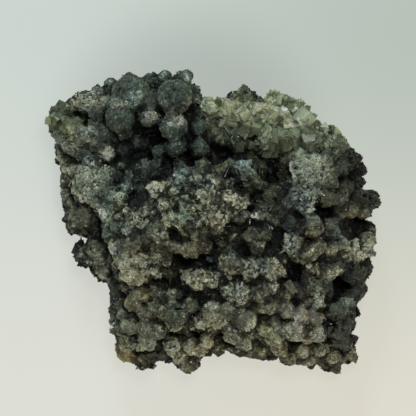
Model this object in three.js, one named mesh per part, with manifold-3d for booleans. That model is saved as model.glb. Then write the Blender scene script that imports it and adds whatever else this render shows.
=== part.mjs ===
// A cluster of prehnite grown through with dark epidote: one rough lump of balls, ledges and
// blocky crystals, about 100 mm wide, 90 mm deep and 49 mm high. Millimetres, +Z up.
// The origin is the middle of the flat spot that it rests on. Seen from above, +X is to the right.
import * as THREE from "three";
import { mergeVertices } from "three/addons/utils/BufferGeometryUtils.js";
import Module from "manifold-3d";

// Driving dimensions of the rock body that carries the lumps
const REACH_STEP_DEG = 6;
// How far the rock body reaches from the middle, every 6 degrees from +X towards +Y
const ROCK_REACH = [
  47.5, 49, 47, 47, 48.5, 47, 45.5, 42, 42.5, 43, 41, 41, 39.5, 40.5, 36,
  36.5, 38, 45, 46.5, 47.5, 50, 51.5, 53, 55.5, 56.5, 56, 49.5, 47, 45.5, 44.5,
  43.5, 37, 39.5, 39, 37, 36, 37, 41, 43, 48, 49, 47, 43.5, 45.5, 42.5,
  39, 37.5, 39.5, 42, 44.5, 49, 53, 58, 56.5, 52, 49.5, 49.5, 49, 48.5, 49,
];
const ROCK_DETAIL = 10; // how finely the rock body is faceted
const EDGE_SHARE = 0.56; // share of the rock's facets on its top
const FOOT_SHARE = 0.9; // share of them above the foot of the sides
const EDGE_OUT = 0.95; // the top ends this share of the way out
const FOOT_OUT = 0.8; // the sides draw in to this share at their foot
const FOOT_HEIGHT = 5;
const SIDE_ROUGH = 1.3; // height of the ridges that break up the sides
const BASE_SHOULDER = 2.6; // how soon the underside reaches the flat spot
const TOP_SINK = 0.3; // the rock meets each lump this share of its radius under its middle
const NEAR = 1.6; // smoothing of the rock's height between lumps

// Underside and side lumps, which a loop lays out
const SIDE_LUMPS = 42;
const SIDE_TOP = 0.6; // share of the rock's facets above the first lump
const SIDE_BOTTOM = 0.94;
const SIDE_SMALLEST = 3.4;
const SIDE_SPREAD = 2.2;
const SIDE_SINK = 0.75;
const GOLDEN_ANGLE = Math.PI * (3 - Math.sqrt(5));

const BOLD_LUMP = 3.1; // lumps from this radius stand out; smaller ones only bulge the rock's top
const BOLD_OUT = 1; // and so do all lumps beyond this share of the way out
const BULGE_SINK = 0.1;
const BIG_LUMP = 5.5; // lumps over this radius get finer faces
const CUTTER = 140; // block that trims the underside flat

// Each lump is [x, y, height of its middle, radius].

// Round balls on stalks at the upper left, the highest of them
const crownBalls = [
  [-11.1, 37.3, 41, 5.6], [-11.4, 28.5, 41.5, 4.4], [-10.8, 23, 38.5, 3.6], [-3.9, 22, 36.5, 3.4],
  [-4.2, 28.2, 35.5, 2.8], [-24, 38.4, 39, 5.8], [-27.3, 31.2, 39, 4.7], [-28.2, 35.4, 41.5, 2.8],
  [-18.6, 31.5, 40, 3.5], [-19.2, 36.6, 39.5, 3], [-15.6, 21, 36, 2.8], [-26, 27.3, 36.5, 3],
  [-21.6, 24.6, 33, 3.6], [-26.1, 21.3, 32, 3], [-31.2, 21, 32.5, 2.9], [-31.4, 26.7, 34, 2.7],
];

// Knobs along the upper edge, behind the balls
const upperEdge = [
  [-8.7, 42.3, 35, 3], [-7.6, 43.6, 32, 2.4], [-14.1, 43.2, 33, 2.4], [-18.6, 42, 31, 2.9],
  [-24.6, 42.3, 32, 2.8], [-30, 41.2, 31, 2.5], [-33.8, 38.4, 32, 2.9], [-1.5, 33.5, 29, 3],
];

// Pale green knobs of the left shoulder
const leftShoulder = [
  [-37.8, 36.3, 31, 3.6], [-34.9, 35.4, 32.5, 2.6], [-41.3, 35, 29, 2.7], [-42, 31.8, 27, 2.9],
  [-40.8, 28.8, 29.5, 2.9], [-42, 24, 27.5, 3.9], [-37.8, 26.1, 31, 2.7], [-38.7, 20.7, 28.5, 2.9],
  [-34.5, 32.1, 33, 2.8], [-34.8, 28.2, 33, 2.6], [-35.7, 18, 30.5, 3.3], [-34.2, 22.8, 32, 2.6],
];

// Clear yellow-green crystals at the far left tip
const leftTip = [
  [-47.2, 30, 22.5, 3.3], [-46.6, 32.6, 22, 2.2], [-47.6, 27.8, 21, 2.3], [-45.2, 28.6, 24, 2.4],
];

// Small grey-green knobs down the left edge
const leftEdge = [
  [-44.4, 19.6, 21, 2.2], [-43.2, 16.2, 22, 2.6], [-43.6, 12.8, 20, 2.4], [-43.4, 9.2, 19, 2.6],
  [-40.8, 15.6, 26, 2.6],
];

// Blue-green ledges between the left shoulder and the plateau
const saddle = [
  [-36.6, 13.2, 32, 3.7], [-40, 11.2, 30, 2.4], [-31.8, 13.8, 33, 3.2], [-33.6, 9.2, 34, 3.4],
  [-38.4, 8.6, 31.5, 2.3], [-28.2, 7, 38, 2.9], [-32.1, 4.8, 36, 2.7], [-24.6, 11.1, 35.5, 3.1],
  [-21.6, 15.3, 35, 3.1], [-20.6, 9.6, 37, 2.6], [-26.1, 16.5, 32, 3], [-26.1, 2.7, 40, 3.1],
  [-30.2, 1.5, 37.5, 2.7], [-30.6, -3.2, 36.5, 2.5], [-27.6, -0.9, 39.5, 2.5], [-16.6, 16.2, 37, 2.8],
];

// Pale blocks of the high plateau
const plateauPale = [
  [-16, 9.8, 43.5, 2.9], [-13.5, 9.3, 44, 2.4], [-14.1, 4.8, 45, 3], [-10.2, 11.4, 43.8, 3.2],
  [-5.4, 13, 43, 3], [-0.6, 11.4, 43, 3], [-7.5, 7.2, 45, 3.2], [-2.1, 6.9, 45, 3.3],
  [-12.8, 0.3, 45.3, 2.9], [-16.6, -1.8, 44, 3.2], [-7.2, 2.1, 45.8, 3.2], [-18.2, 4.6, 43, 2.9],
];

// Grey and brown crystals of the high plateau
const plateauGrey = [
  [-1.2, 2.1, 45.2, 3.3], [3, 2.7, 44.4, 2.8], [3.9, 7.8, 44.2, 3.2], [8.4, 6.3, 42.5, 2.9],
  [-9.6, 15.6, 41.5, 2.7], [-2.1, 15.6, 41, 2.7], [3.3, 15, 42, 2.8], [6.6, 16.4, 42.5, 2.4],
  [9.6, 15.8, 43.6, 2.9], [11.7, 11.7, 41.5, 2.9], [4.2, 11.7, 43, 2.4], [8.4, 1.8, 41, 2.6],
  [-23.7, -0.9, 42, 3], [-20.8, 2.1, 43, 2.8], [-20.1, -4.2, 43, 3], [-8.1, -2.4, 44, 2.6],
  [-3.6, -3, 43.2, 2.4], [0.9, -1.5, 43, 2.7], [3, -5.4, 40.8, 2],
];

// Overhanging rim of the plateau, along its left and lower side
const plateauRim = [
  [-23.4, -6, 41, 2.9], [-27.6, -6.9, 38, 2.6], [-25.5, -10.8, 39, 2.8], [-21, -9.9, 40.5, 2.9],
  [-24.3, -14.7, 38, 3], [-22, -16.2, 36.8, 2.2], [-17.1, -14.2, 37.5, 2.6], [-18, -9.3, 41, 2.6],
  [-14.3, -9, 41, 2.3], [-13.6, -11.2, 39.5, 1.9], [-28.2, -12, 35.5, 2.4], [-27, -15.6, 34.5, 2],
  [-11.1, -6.9, 42, 2.6], [-6.6, -7.2, 42, 2.7], [-2.1, -7.2, 41, 2.4], [-15.6, -5.2, 43.2, 2.6],
];

// Clear pale crystals along the upper right
const paleCrystals = [
  [-0.3, 34, 33.5, 2.6], [3.8, 33.4, 33.5, 2.8], [9.6, 36.8, 32.5, 3.6], [11.4, 32.7, 35.5, 3.1],
  [15, 30.6, 36.5, 3.3], [17.6, 35.2, 33, 3], [20.6, 35.5, 31.5, 2.6], [18.9, 31.8, 35.5, 3],
  [22.8, 30.6, 36, 3], [24.4, 33.6, 33, 2.8], [26.4, 28.8, 34.8, 3.1], [27.8, 31.3, 32.5, 2.7],
  [21.9, 26.1, 36.5, 3.1], [15.9, 26.1, 36, 2.8], [9.9, 28.2, 35, 3], [5.4, 29.4, 33, 2.8],
  [29.4, 24.6, 34.8, 2.8], [33, 26.2, 31.5, 2.6], [36, 25.8, 30, 2.5], [30.2, 28, 32, 2.5],
];

// Green blocks under and beside the pale crystals
const greenBlocks = [
  [3, 25.2, 32.5, 2.8], [7.5, 23.4, 33.5, 2.5], [11.4, 22.8, 34, 2.5], [16.2, 22.6, 34.5, 2.6],
  [36.9, 21.9, 32, 3.6], [33.6, 18.6, 34, 3.1], [40.5, 19.8, 29, 3.1], [38.4, 15.9, 31, 2.8],
  [25.8, 21.9, 33, 2.7], [21.9, 20.4, 33, 2.5], [20.6, 16.2, 31.5, 2.7], [25.4, 17.1, 36, 3.2],
  [29.4, 16.5, 36.5, 3.4], [26.6, 13.8, 36.8, 2.8], [30.9, 13.6, 36.5, 2.5], [34.8, 12.6, 35, 2.7],
];

// Blue-grey slab with a pale edge, and the lumps round it
const rightSlab = [
  [25.5, 8.1, 37.5, 3.8], [29, 8.4, 38.5, 2.9], [22.5, 5.4, 37.5, 3.2], [27.5, 5, 38.2, 2.9],
  [15.3, 6.6, 38.5, 3], [18.9, 8.4, 35.5, 2.9], [18.9, 1.8, 39, 3.4], [13.5, 2.1, 40, 2.4],
  [22.5, 0, 38.6, 3],
];

// Dark knobs of the right shoulder, and the block at the far right
const rightShoulder = [
  [33.9, 7.2, 34, 3], [38.4, 7.2, 32, 2.8], [39.9, 10.8, 30.5, 2.7], [44.6, 7.2, 28, 3.4],
  [47.9, 7.4, 26, 2.6], [41.4, 3.9, 30, 2.7], [45.2, 3.3, 27.5, 2.5], [44.2, 15.8, 24, 2.5],
  [42, 12, 25.5, 2.8], [37.5, 3, 31, 2.6],
];

// Round beige and green balls right of the middle
const rightBalls = [
  [29.4, -1, 37.8, 3.8], [24, -6, 38, 3.9], [29.2, -9, 37.8, 3], [26.4, -10.2, 37.6, 2.5],
  [31.6, -6.9, 37, 2.9], [35.2, -0.6, 33, 2.5], [35.7, -3.3, 32, 2.7], [35.7, -8.4, 31, 1.7],
  [39, -6, 31, 2.2], [42.3, -7.5, 29, 2.3], [40.5, -9.9, 28.5, 2.2], [46.4, -5.4, 24, 2.9],
  [46.6, -9.3, 24, 2.3], [44, -10.2, 27, 2.1], [47.2, -1.8, 20, 2.4],
];

// Smooth green domes with pale rims, in the middle of the front
const greenDomes = [
  [5.4, -12, 38.5, 4.5], [11.4, -13.8, 38.5, 3.9], [16.8, -13.8, 38, 3.9], [20.7, -14.7, 37.5, 2],
  [16.8, -18.9, 37.5, 3.3], [9, -21.6, 38, 3.5], [9.9, -28.6, 35, 4], [15, -3, 39.5, 3],
  [13.2, -6.9, 39, 3], [10.4, -3.4, 40, 2.4], [4.8, -26, 34.5, 3.2], [12.9, -20.4, 37.6, 2.6],
];

// Rounded knobs across the lower middle
const frontBalls = [
  [0, -26.1, 35, 3.6], [0.9, -29.7, 33, 2.4], [0, -17.1, 37, 2.9], [-4.5, -17.7, 38, 2.9],
  [-7.8, -15.9, 35.5, 2.5], [-11.1, -27, 33.5, 3.9], [-14.2, -26.4, 33, 2.2], [-11.1, -30.3, 31, 2.4],
  [-12, -21.6, 33, 2.9], [-6.3, -24.3, 34, 2.9], [-3.6, -29.7, 32, 2.4], [-16.5, -20.4, 31.5, 2.5],
  [4.8, -20.2, 36, 2.8],
];

// Granular brown and beige crust, lower right
const brownCrust = [
  [17.4, -24.6, 35, 2.9], [21.9, -25.8, 33.5, 3], [26.4, -27.6, 32.5, 3.1], [30.9, -27.9, 31.5, 2.7],
  [24.3, -32, 30.5, 4.1], [31.8, -33, 29.5, 2.9], [13.8, -24.6, 35, 2.5], [28.4, -34, 28.5, 2.6],
];

// Olive slab that runs down to the lower edge
const oliveSlab = [
  [15.9, -31.5, 31.5, 2.9], [18.3, -34.2, 29.5, 3], [20, -37.2, 27, 2.9], [22.8, -40.2, 22, 3],
];

// Dark hollowed ground between the right balls and the right edge
const rightHollow = [
  [22.5, -19.8, 32, 2.9], [26.1, -19.5, 31.5, 2.6], [31.8, -20.4, 32, 2.3], [31.8, -23.7, 32, 2.2],
  [33.9, -14.1, 31, 2.9], [36.9, -13.8, 30.5, 2.5], [29.4, -14.1, 33, 2.7], [34.8, -19.8, 28, 2.4],
  [42.6, -15.6, 24, 3.4], [44, -20.1, 20, 2.8], [46, -13, 21.5, 2.6], [41.6, -23.4, 21.5, 2.5],
  [39.6, -24.3, 24.5, 2.2], [42.2, -26.7, 18.5, 2.4], [36.9, -27, 27, 3.1], [38.1, -31.5, 24.5, 3.4],
  [41.2, -30.6, 19.5, 2.5], [38.8, -35.4, 21.5, 2.9],
];

// Knobs along the lower edge
const lowerEdge = [
  [32.4, -37.5, 23, 2.9], [27.3, -38.1, 22.5, 3], [36.6, -39.9, 17, 3], [40.8, -39.6, 15, 3],
  [35.2, -42, 14, 2.5], [29.4, -41, 16.5, 2.6], [25.8, -41, 17, 2.4], [-12, -36.6, 25, 2.8],
  [-9.6, -40, 21, 2.9], [-7.4, -43, 17.5, 2.6], [-6.6, -37.2, 24, 2.9], [-3.8, -38.4, 22, 2.7],
  [-1.5, -35.7, 24.5, 2.7], [1.8, -37.5, 20, 2.6], [7.2, -37.8, 20, 2.1], [9.9, -36.3, 23, 2.6],
  [11.7, -37.8, 19, 2.3], [15, -38.7, 18, 2.4], [18, -39.9, 15.5, 2.2], [5.4, -33.9, 27, 2.7],
  [-16.5, -38.4, 21, 2.6],
];

// Knobs of the lower left corner
const lowerLeft = [
  [-21, -21, 31, 2.9], [-23.7, -24.3, 30, 2.9], [-20.1, -27, 30, 2.6], [-17.1, -24.9, 31, 2.3],
  [-28, -19.5, 24, 3.2], [-28.2, -24, 23.5, 2.5], [-29.2, -26.7, 21.5, 2.3], [-26.7, -27.3, 25, 2.5],
  [-24.6, -30.9, 27, 3], [-19.5, -31.5, 29, 3.1], [-27, -31.8, 22.5, 2.8], [-16.2, -32.7, 29, 2.6],
  [-19.2, -35.7, 26, 3.1], [-25.2, -36.3, 21, 3.3], [-18.6, -40.2, 19.5, 3.1], [-20.2, -42, 17.5, 2.2],
  [-24.8, -19, 30, 2.5],
];

// Clear amber lump at the lower left
const amberFoot = [
  [-25.6, -38.6, 16.5, 3.7], [-23.1, -40, 15.5, 3.2],
];

// Dark brown rock that shows below the plateau's rim, on the left
const darkSkirt = [
  [-39.6, 2.1, 21, 4.6], [-42, 4.4, 19, 2.9], [-41.4, -0.2, 18.5, 3], [-36.6, -0.9, 21, 3.6],
  [-43.6, 5.9, 16, 2.2], [-36, -4.8, 20, 2.4], [-38.1, -10.2, 19.5, 3], [-39.4, -9.2, 18.5, 2.7],
  [-38.8, -11.6, 17.5, 2.3], [-34.5, -7.8, 22, 3.1], [-32.7, -13.8, 20, 3.2], [-31.2, -16.2, 18, 2.3],
  [-33.6, -10.8, 21, 3],
];

// Pits, each [x, y, radius, depth]
const pits = [
  [-9, 19, 3.2, 12], [-3, 18.6, 3.4, 12], [4, 19.4, 3, 9], [18, 13.6, 3.2, 9], [-8, -11.2, 4, 10],
  [-2.5, -12, 2.6, 8], [43.2, -0.6, 3.4, 9], [-17, -18.2, 2.6, 8], [23.4, -14.4, 2.4, 7],
  [37.5, -19.6, 3.6, 9], [-10.5, -34, 2.6, 7], [-4.5, -33.6, 2.6, 7], [3.4, -34, 2, 6],
  [-33.5, -1.5, 3.4, 9], [-15.6, 25.6, 2.2, 9], [-26, 11.8, 2, 5], [32.8, 3, 2.4, 6], [-18, 19.4, 2, 6],
];

const topLumps = [
  crownBalls, upperEdge, leftShoulder, leftTip, leftEdge, saddle, plateauPale, plateauGrey,
  plateauRim, paleCrystals, greenBlocks, rightSlab, rightShoulder, rightBalls, greenDomes,
  frontBalls, brownCrust, oliveSlab, rightHollow, lowerEdge, lowerLeft, amberFoot, darkSkirt,
].flat();

const wasm = await Module();
wasm.setup();

// A closed three.js geometry as a solid
function solidFrom(geometry) {
  const bare = geometry.clone();
  bare.deleteAttribute("normal");
  bare.deleteAttribute("uv");
  const merged = mergeVertices(bare, 1e-4);
  const mesh = new wasm.Mesh({
    numProp: 3,
    vertProperties: merged.attributes.position.array,
    triVerts: new Uint32Array(merged.index.array),
  });
  return new wasm.Manifold(mesh);
}

// How far the rock reaches in a direction, rounded between the stated reaches
function rockReach(angle) {
  const turns = ROCK_REACH.length;
  const place = THREE.MathUtils.euclideanModulo(THREE.MathUtils.radToDeg(angle) / REACH_STEP_DEG, turns);
  const before = Math.floor(place) % turns;
  const share = THREE.MathUtils.smoothstep(place - Math.floor(place), 0, 1);
  return THREE.MathUtils.lerp(ROCK_REACH[before], ROCK_REACH[(before + 1) % turns], share);
}

// Lumps that are joined on as solids of their own
function standsOut([x, y, , radius]) {
  return radius >= BOLD_LUMP || Math.hypot(x, y) > BOLD_OUT * rockReach(Math.atan2(y, x));
}

// Height of the rock's top: the heights of the lumps around, less the pits, with small lumps as bulges
function rockTop(x, y) {
  let weightSum = 0;
  let heightSum = 0;
  let bulge = 0;
  for (const [lumpX, lumpY, lumpZ, radius] of topLumps) {
    const apart = (x - lumpX) ** 2 + (y - lumpY) ** 2;
    const weight = 1 / (apart + NEAR ** 2) ** 2;
    weightSum += weight;
    heightSum += weight * (lumpZ - TOP_SINK * radius);
    if (radius < BOLD_LUMP && apart < radius ** 2) {
      bulge = Math.max(bulge, lumpZ + Math.sqrt(radius ** 2 - apart) - BULGE_SINK * radius);
    }
  }
  let height = heightSum / weightSum;
  for (const [pitX, pitY, radius, depth] of pits) {
    height -= depth * Math.exp(-((x - pitX) ** 2 + (y - pitY) ** 2) / radius ** 2);
  }
  return Math.max(height, bulge);
}

// A point of the rock's surface: its angle about +Z, and its share of the way from top to underside
function rockPoint(angle, share) {
  const reach = rockReach(angle);
  const east = Math.cos(angle);
  const north = Math.sin(angle);
  if (share < EDGE_SHARE) {
    const out = EDGE_OUT * reach * Math.sqrt(share / EDGE_SHARE);
    return new THREE.Vector3(out * east, out * north, rockTop(out * east, out * north));
  }
  if (share < FOOT_SHARE) {
    const down = (share - EDGE_SHARE) / (FOOT_SHARE - EDGE_SHARE);
    const belly = 1 - (1 - EDGE_OUT) * (1 - down) ** 4 - (1 - FOOT_OUT) * down ** 3;
    const wave = Math.sin(17 * angle + 9 * down) * Math.cos(5 * angle - 14 * down);
    const ridge = SIDE_ROUGH * wave * Math.sin(Math.PI * down);
    const edge = EDGE_OUT * reach;
    const top = rockTop(edge * east, edge * north);
    const out = reach * belly + ridge;
    return new THREE.Vector3(out * east, out * north, THREE.MathUtils.lerp(top, FOOT_HEIGHT, down));
  }
  const inner = Math.sqrt((1 - share) / (1 - FOOT_SHARE));
  const out = FOOT_OUT * reach * inner;
  const rest = Math.max(0, 1 - (1 - inner) * BASE_SHOULDER);
  return new THREE.Vector3(out * east, out * north, FOOT_HEIGHT * rest);
}

// The rock body: a faceted ball whose points are moved onto the rock's surface
function rockBody() {
  const ball = new THREE.IcosahedronGeometry(1, ROCK_DETAIL);
  const points = ball.getAttribute("position");
  const direction = new THREE.Vector3();
  for (let i = 0; i < points.count; i += 1) {
    direction.fromBufferAttribute(points, i).normalize();
    const share = THREE.MathUtils.clamp((1 - direction.z) / 2, 0, 1);
    const moved = rockPoint(Math.atan2(direction.y, direction.x), share);
    points.setXYZ(i, moved.x, moved.y, moved.z);
  }
  return solidFrom(ball);
}

// One lump: a faceted crystal ball, each turned its own way
function lump([x, y, z, radius], index) {
  const faces = new THREE.IcosahedronGeometry(radius, radius > BIG_LUMP ? 1 : 0);
  faces.rotateX(index * 1.3);
  faces.rotateZ(index * 2.4);
  faces.translate(x, y, z);
  return solidFrom(faces);
}

// The lumps of the sides and the underside, spread evenly and sized by turns
function sideLumps() {
  const made = [];
  for (let i = 0; i < SIDE_LUMPS; i += 1) {
    const share = THREE.MathUtils.lerp(SIDE_TOP, SIDE_BOTTOM, i / SIDE_LUMPS);
    const centre = rockPoint(i * GOLDEN_ANGLE, share);
    const radius = SIDE_SMALLEST + SIDE_SPREAD * Math.abs(Math.sin(i * 1.7));
    const inward = 1 - (SIDE_SINK * radius) / Math.hypot(centre.x, centre.y);
    made.push([centre.x * inward, centre.y * inward, centre.z, radius]);
  }
  return made;
}

// The whole cluster as one solid, trimmed flat where it rests
function cluster() {
  const lumps = [...topLumps.filter(standsOut), ...sideLumps()].map(lump);
  const grown = wasm.Manifold.union([rockBody(), ...lumps]);
  const below = solidFrom(new THREE.BoxGeometry(CUTTER, CUTTER, CUTTER).translate(0, 0, -CUTTER / 2));
  const trimmed = grown.subtract(below);
  const bodies = trimmed.decompose().sort((a, b) => b.volume() - a.volume());
  return bodies[0];
}

// A solid back as a three.js geometry
function geometryFrom(solid) {
  const mesh = solid.getMesh();
  const geometry = new THREE.BufferGeometry();
  geometry.setAttribute("position", new THREE.BufferAttribute(new Float32Array(mesh.vertProperties), 3));
  geometry.setIndex(new THREE.BufferAttribute(new Uint32Array(mesh.triVerts), 1));
  geometry.computeVertexNormals();
  return geometry;
}

const prehnite = new THREE.MeshStandardMaterial({ color: 0x4f5a4c, roughness: 0.6, metalness: 0 });
const crystalCluster = new THREE.Mesh(geometryFrom(cluster()), prehnite);
crystalCluster.name = "crystal_cluster";

const specimen = new THREE.Group();
specimen.add(crystalCluster);

export default specimen;
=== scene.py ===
import math

import bmesh
import bpy
import numpy as np
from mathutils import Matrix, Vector, kdtree, noise


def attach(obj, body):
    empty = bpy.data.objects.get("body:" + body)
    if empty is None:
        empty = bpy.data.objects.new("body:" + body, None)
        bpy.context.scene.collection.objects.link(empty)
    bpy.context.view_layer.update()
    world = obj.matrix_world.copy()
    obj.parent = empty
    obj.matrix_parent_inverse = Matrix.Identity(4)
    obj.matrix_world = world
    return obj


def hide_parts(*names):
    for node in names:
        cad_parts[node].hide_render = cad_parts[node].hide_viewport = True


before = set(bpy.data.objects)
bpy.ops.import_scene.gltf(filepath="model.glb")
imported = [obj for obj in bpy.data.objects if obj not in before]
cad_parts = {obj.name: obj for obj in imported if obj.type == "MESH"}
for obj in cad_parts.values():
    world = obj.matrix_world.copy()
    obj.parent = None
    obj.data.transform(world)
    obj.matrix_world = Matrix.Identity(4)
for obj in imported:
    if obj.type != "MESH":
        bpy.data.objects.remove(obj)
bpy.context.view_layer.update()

MM = 0.001

# Camera. It hangs straight above the cluster, as in the photograph, with the far side of the
# cluster (+Y) at the top of the picture, and spans VIEW_WIDTH at VIEW_LEVEL above the floor. All
# sizes in this file are in millimetres, unless their name or comment says otherwise.
VIEW_CENTRE = (-1.2, 4.4)
VIEW_HEIGHT = 1200
VIEW_LEVEL = 25
VIEW_WIDTH = 124.8
SENSOR = 36
NEAREST_SEEN = 10
FARTHEST_SEEN = 20000
camera_data = bpy.data.cameras.new("camera")
camera_data.sensor_width = SENSOR
camera_data.lens = SENSOR * (VIEW_HEIGHT - VIEW_LEVEL) / VIEW_WIDTH
camera_data.clip_start = NEAREST_SEEN * MM
camera_data.clip_end = FARTHEST_SEEN * MM
camera = bpy.data.objects.new("camera", camera_data)
camera.location = (VIEW_CENTRE[0] * MM, VIEW_CENTRE[1] * MM, VIEW_HEIGHT * MM)
bpy.context.scene.collection.objects.link(camera)
bpy.context.scene.camera = camera

# Light. A soft lamp above, a cool one from the top of the picture and a warm one from the bottom
# right, each [name, place in mm, power in watts, width in mm, colour].
LAMPS = (
    ("lamp_above", (60, 150, 900), 1.6, 150, (1.0, 1.0, 0.98)),
    ("lamp_cool", (-100, 700, 620), 2.6, 250, (0.84, 0.94, 1.0)),
    ("lamp_warm", (380, -700, 520), 1.1, 420, (1.0, 0.90, 0.76)),
)
LAMP_AIM_HEIGHT = 30
lamp_aim = Vector((0, 0, LAMP_AIM_HEIGHT * MM))
for lamp_name, place, power, width, colour in LAMPS:
    lamp_data = bpy.data.lights.new(lamp_name, "AREA")
    lamp_data.shape = "DISK"
    lamp_data.size = width * MM
    lamp_data.energy = power
    lamp_data.color = colour
    lamp = bpy.data.objects.new(lamp_name, lamp_data)
    lamp.location = [value * MM for value in place]
    lamp.rotation_euler = (lamp_aim - lamp.location).to_track_quat("-Z", "Y").to_euler()
    bpy.context.scene.collection.objects.link(lamp)

WORLD_COLOUR = (0.86, 0.9, 0.92)
WORLD_STRENGTH = 0.06
world = bpy.data.worlds.new("studio")
world.use_nodes = True
world.node_tree.nodes["Background"].inputs["Color"].default_value = (*WORLD_COLOUR, 1)
world.node_tree.nodes["Background"].inputs["Strength"].default_value = WORLD_STRENGTH
bpy.context.scene.world = world
bpy.context.scene.view_settings.view_transform = "Standard"

# Floor. A pale, plain surface with a painted glow, so that no hard shadow lies round the cluster. Its painted
# glow drifts between the four corners of the picture, with a painted soft shadow behind the cluster.
FLOOR_SIDE = 3000
FLOOR_COLOUR = (0.2, 0.21, 0.2)
FLOOR_ROUGHNESS = 0.9
# Painted glow of the floor at its four corners, standing in for the lamps' light as it falls off across the
# floor
FLOOR_GLOW_NEAR_LEFT = (0.63, 0.63, 0.575)
FLOOR_GLOW_FAR_LEFT = (0.51, 0.565, 0.525)
FLOOR_GLOW_NEAR_RIGHT = (0.632, 0.605, 0.524)
FLOOR_GLOW_FAR_RIGHT = (0.377, 0.428, 0.38)
FLOOR_GLOW_REACH = 60
# Painted soft shadow on the floor behind the cluster: its centre, the reach within which it is darkest, the
# reach where it ends, and the share of glow left where it is darkest
PAINTED_SHADOW_CENTRE = (-8, 24, 0)
PAINTED_SHADOW_INNER = 22
PAINTED_SHADOW_OUTER = 50
PAINTED_SHADOW_GLOW = 0.76


def ranged(material, source, source_range, result_range, interpolation="LINEAR"):
    node = material.node_tree.nodes.new("ShaderNodeMapRange")
    node.interpolation_type = interpolation
    names = ("From Min", "From Max", "To Min", "To Max")
    for name, value in zip(names, (*source_range, *result_range)):
        node.inputs[name].default_value = value
    material.node_tree.links.new(source, node.inputs["Value"])
    return node.outputs["Result"]


def mixed(material, factor, first, second, blend="MIX"):
    node = material.node_tree.nodes.new("ShaderNodeMix")
    node.data_type = "RGBA"
    node.blend_type = blend
    for name, source in (("Factor", factor), ("A", first), ("B", second)):
        if isinstance(source, bpy.types.NodeSocket):
            material.node_tree.links.new(source, node.inputs[name])
        else:
            node.inputs[name].default_value = source
    return node.outputs["Result"]


floor_mesh = bpy.data.meshes.new("floor")
floor_bm = bmesh.new()
bmesh.ops.create_grid(floor_bm, x_segments=1, y_segments=1, size=FLOOR_SIDE * MM / 2)
floor_bm.to_mesh(floor_mesh)
floor_bm.free()
floor = bpy.data.objects.new("floor", floor_mesh)
bpy.context.scene.collection.objects.link(floor)
floor_material = bpy.data.materials.new("floor")
floor_material.use_nodes = True
floor_nodes = floor_material.node_tree.nodes
floor_links = floor_material.node_tree.links
floor_shader = floor_nodes["Principled BSDF"]
floor_shader.inputs["Base Color"].default_value = (*FLOOR_COLOUR, 1)
floor_shader.inputs["Roughness"].default_value = FLOOR_ROUGHNESS
floor_place = floor_nodes.new("ShaderNodeTexCoord").outputs["Object"]
floor_axes = floor_nodes.new("ShaderNodeSeparateXYZ")
floor_links.new(floor_place, floor_axes.inputs["Vector"])
# Painted glow, mixed between the four corners
glow_range = (-FLOOR_GLOW_REACH * MM, FLOOR_GLOW_REACH * MM)
rightward = ranged(floor_material, floor_axes.outputs["X"], glow_range, (0, 1), "SMOOTHSTEP")
farther = ranged(floor_material, floor_axes.outputs["Y"], glow_range, (0, 1), "SMOOTHSTEP")
left_glow = mixed(floor_material, farther, (*FLOOR_GLOW_NEAR_LEFT, 1), (*FLOOR_GLOW_FAR_LEFT, 1))
right_glow = mixed(floor_material, farther, (*FLOOR_GLOW_NEAR_RIGHT, 1), (*FLOOR_GLOW_FAR_RIGHT, 1))
floor_glow = mixed(floor_material, rightward, left_glow, right_glow)
floor_links.new(floor_glow, floor_shader.inputs["Emission Color"])
# Painted soft shadow: the floor's glow is dimmed round the shadow's centre
from_painted_shadow = floor_nodes.new("ShaderNodeVectorMath")
from_painted_shadow.operation = "DISTANCE"
from_painted_shadow.inputs[1].default_value = tuple(value * MM for value in PAINTED_SHADOW_CENTRE)
floor_links.new(floor_place, from_painted_shadow.inputs[0])
painted_shadow_range = (PAINTED_SHADOW_INNER * MM, PAINTED_SHADOW_OUTER * MM)
floor_painted_shadow = ranged(floor_material, from_painted_shadow.outputs["Value"], painted_shadow_range, (PAINTED_SHADOW_GLOW, 1), "SMOOTHSTEP")
floor_links.new(floor_painted_shadow, floor_shader.inputs["Emission Strength"])
floor_mesh.materials.append(floor_material)

# Lumps. The larger balls, knobs and crystals of prehnite and epidote that grew on the rock. The rows
# are the solid's, moved by a millimetre here and there: x, y, height of the middle and radius.
# Round balls on stalks at the upper left, the highest of them
CROWN_BALLS = (
    (-11.1, 37.3, 41, 5.6), (-11.4, 28.5, 41.5, 4.4), (-10.8, 23, 38.5, 3.6), (-3.9, 22, 36.5, 3.4),
    (-4.2, 28.2, 35.5, 2.8), (-24, 38.4, 39, 5.8), (-27.3, 31.2, 39, 4.7), (-28.2, 35.4, 41.5, 2.8),
    (-18.6, 31.5, 40, 3.5), (-19.2, 36.6, 39.5, 3), (-15.6, 21, 36, 2.8), (-26, 27.3, 36.5, 3),
    (-21.6, 24.6, 33, 3.6), (-26.1, 21.3, 32, 3), (-31.2, 21, 32.5, 2.9), (-31.4, 26.7, 34, 2.7),
)

# Knobs along the upper edge, behind the balls
UPPER_EDGE = (
    (-8.7, 42.3, 35, 3), (-7.6, 43.6, 32, 2.4), (-14.1, 43.2, 33, 2.4), (-18.6, 42, 31, 2.9),
    (-24.6, 42.3, 32, 2.8), (-30, 41.2, 31, 2.5), (-33.8, 38.4, 32, 2.9), (-1.5, 33.5, 29, 3),
)

# Pale green knobs of the left shoulder
LEFT_SHOULDER = (
    (-37.8, 36.3, 31, 3.6), (-34.9, 35.4, 32.5, 2.6), (-41.3, 35, 29, 2.7), (-42, 31.8, 27, 2.9),
    (-40.8, 28.8, 29.5, 2.9), (-42, 24, 27.5, 3.9), (-37.8, 26.1, 31, 2.7), (-38.7, 20.7, 28.5, 2.9),
    (-34.5, 32.1, 33, 2.8), (-34.8, 28.2, 33, 2.6), (-35.7, 18, 30.5, 3.3), (-34.2, 22.8, 32, 2.6),
)

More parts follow.
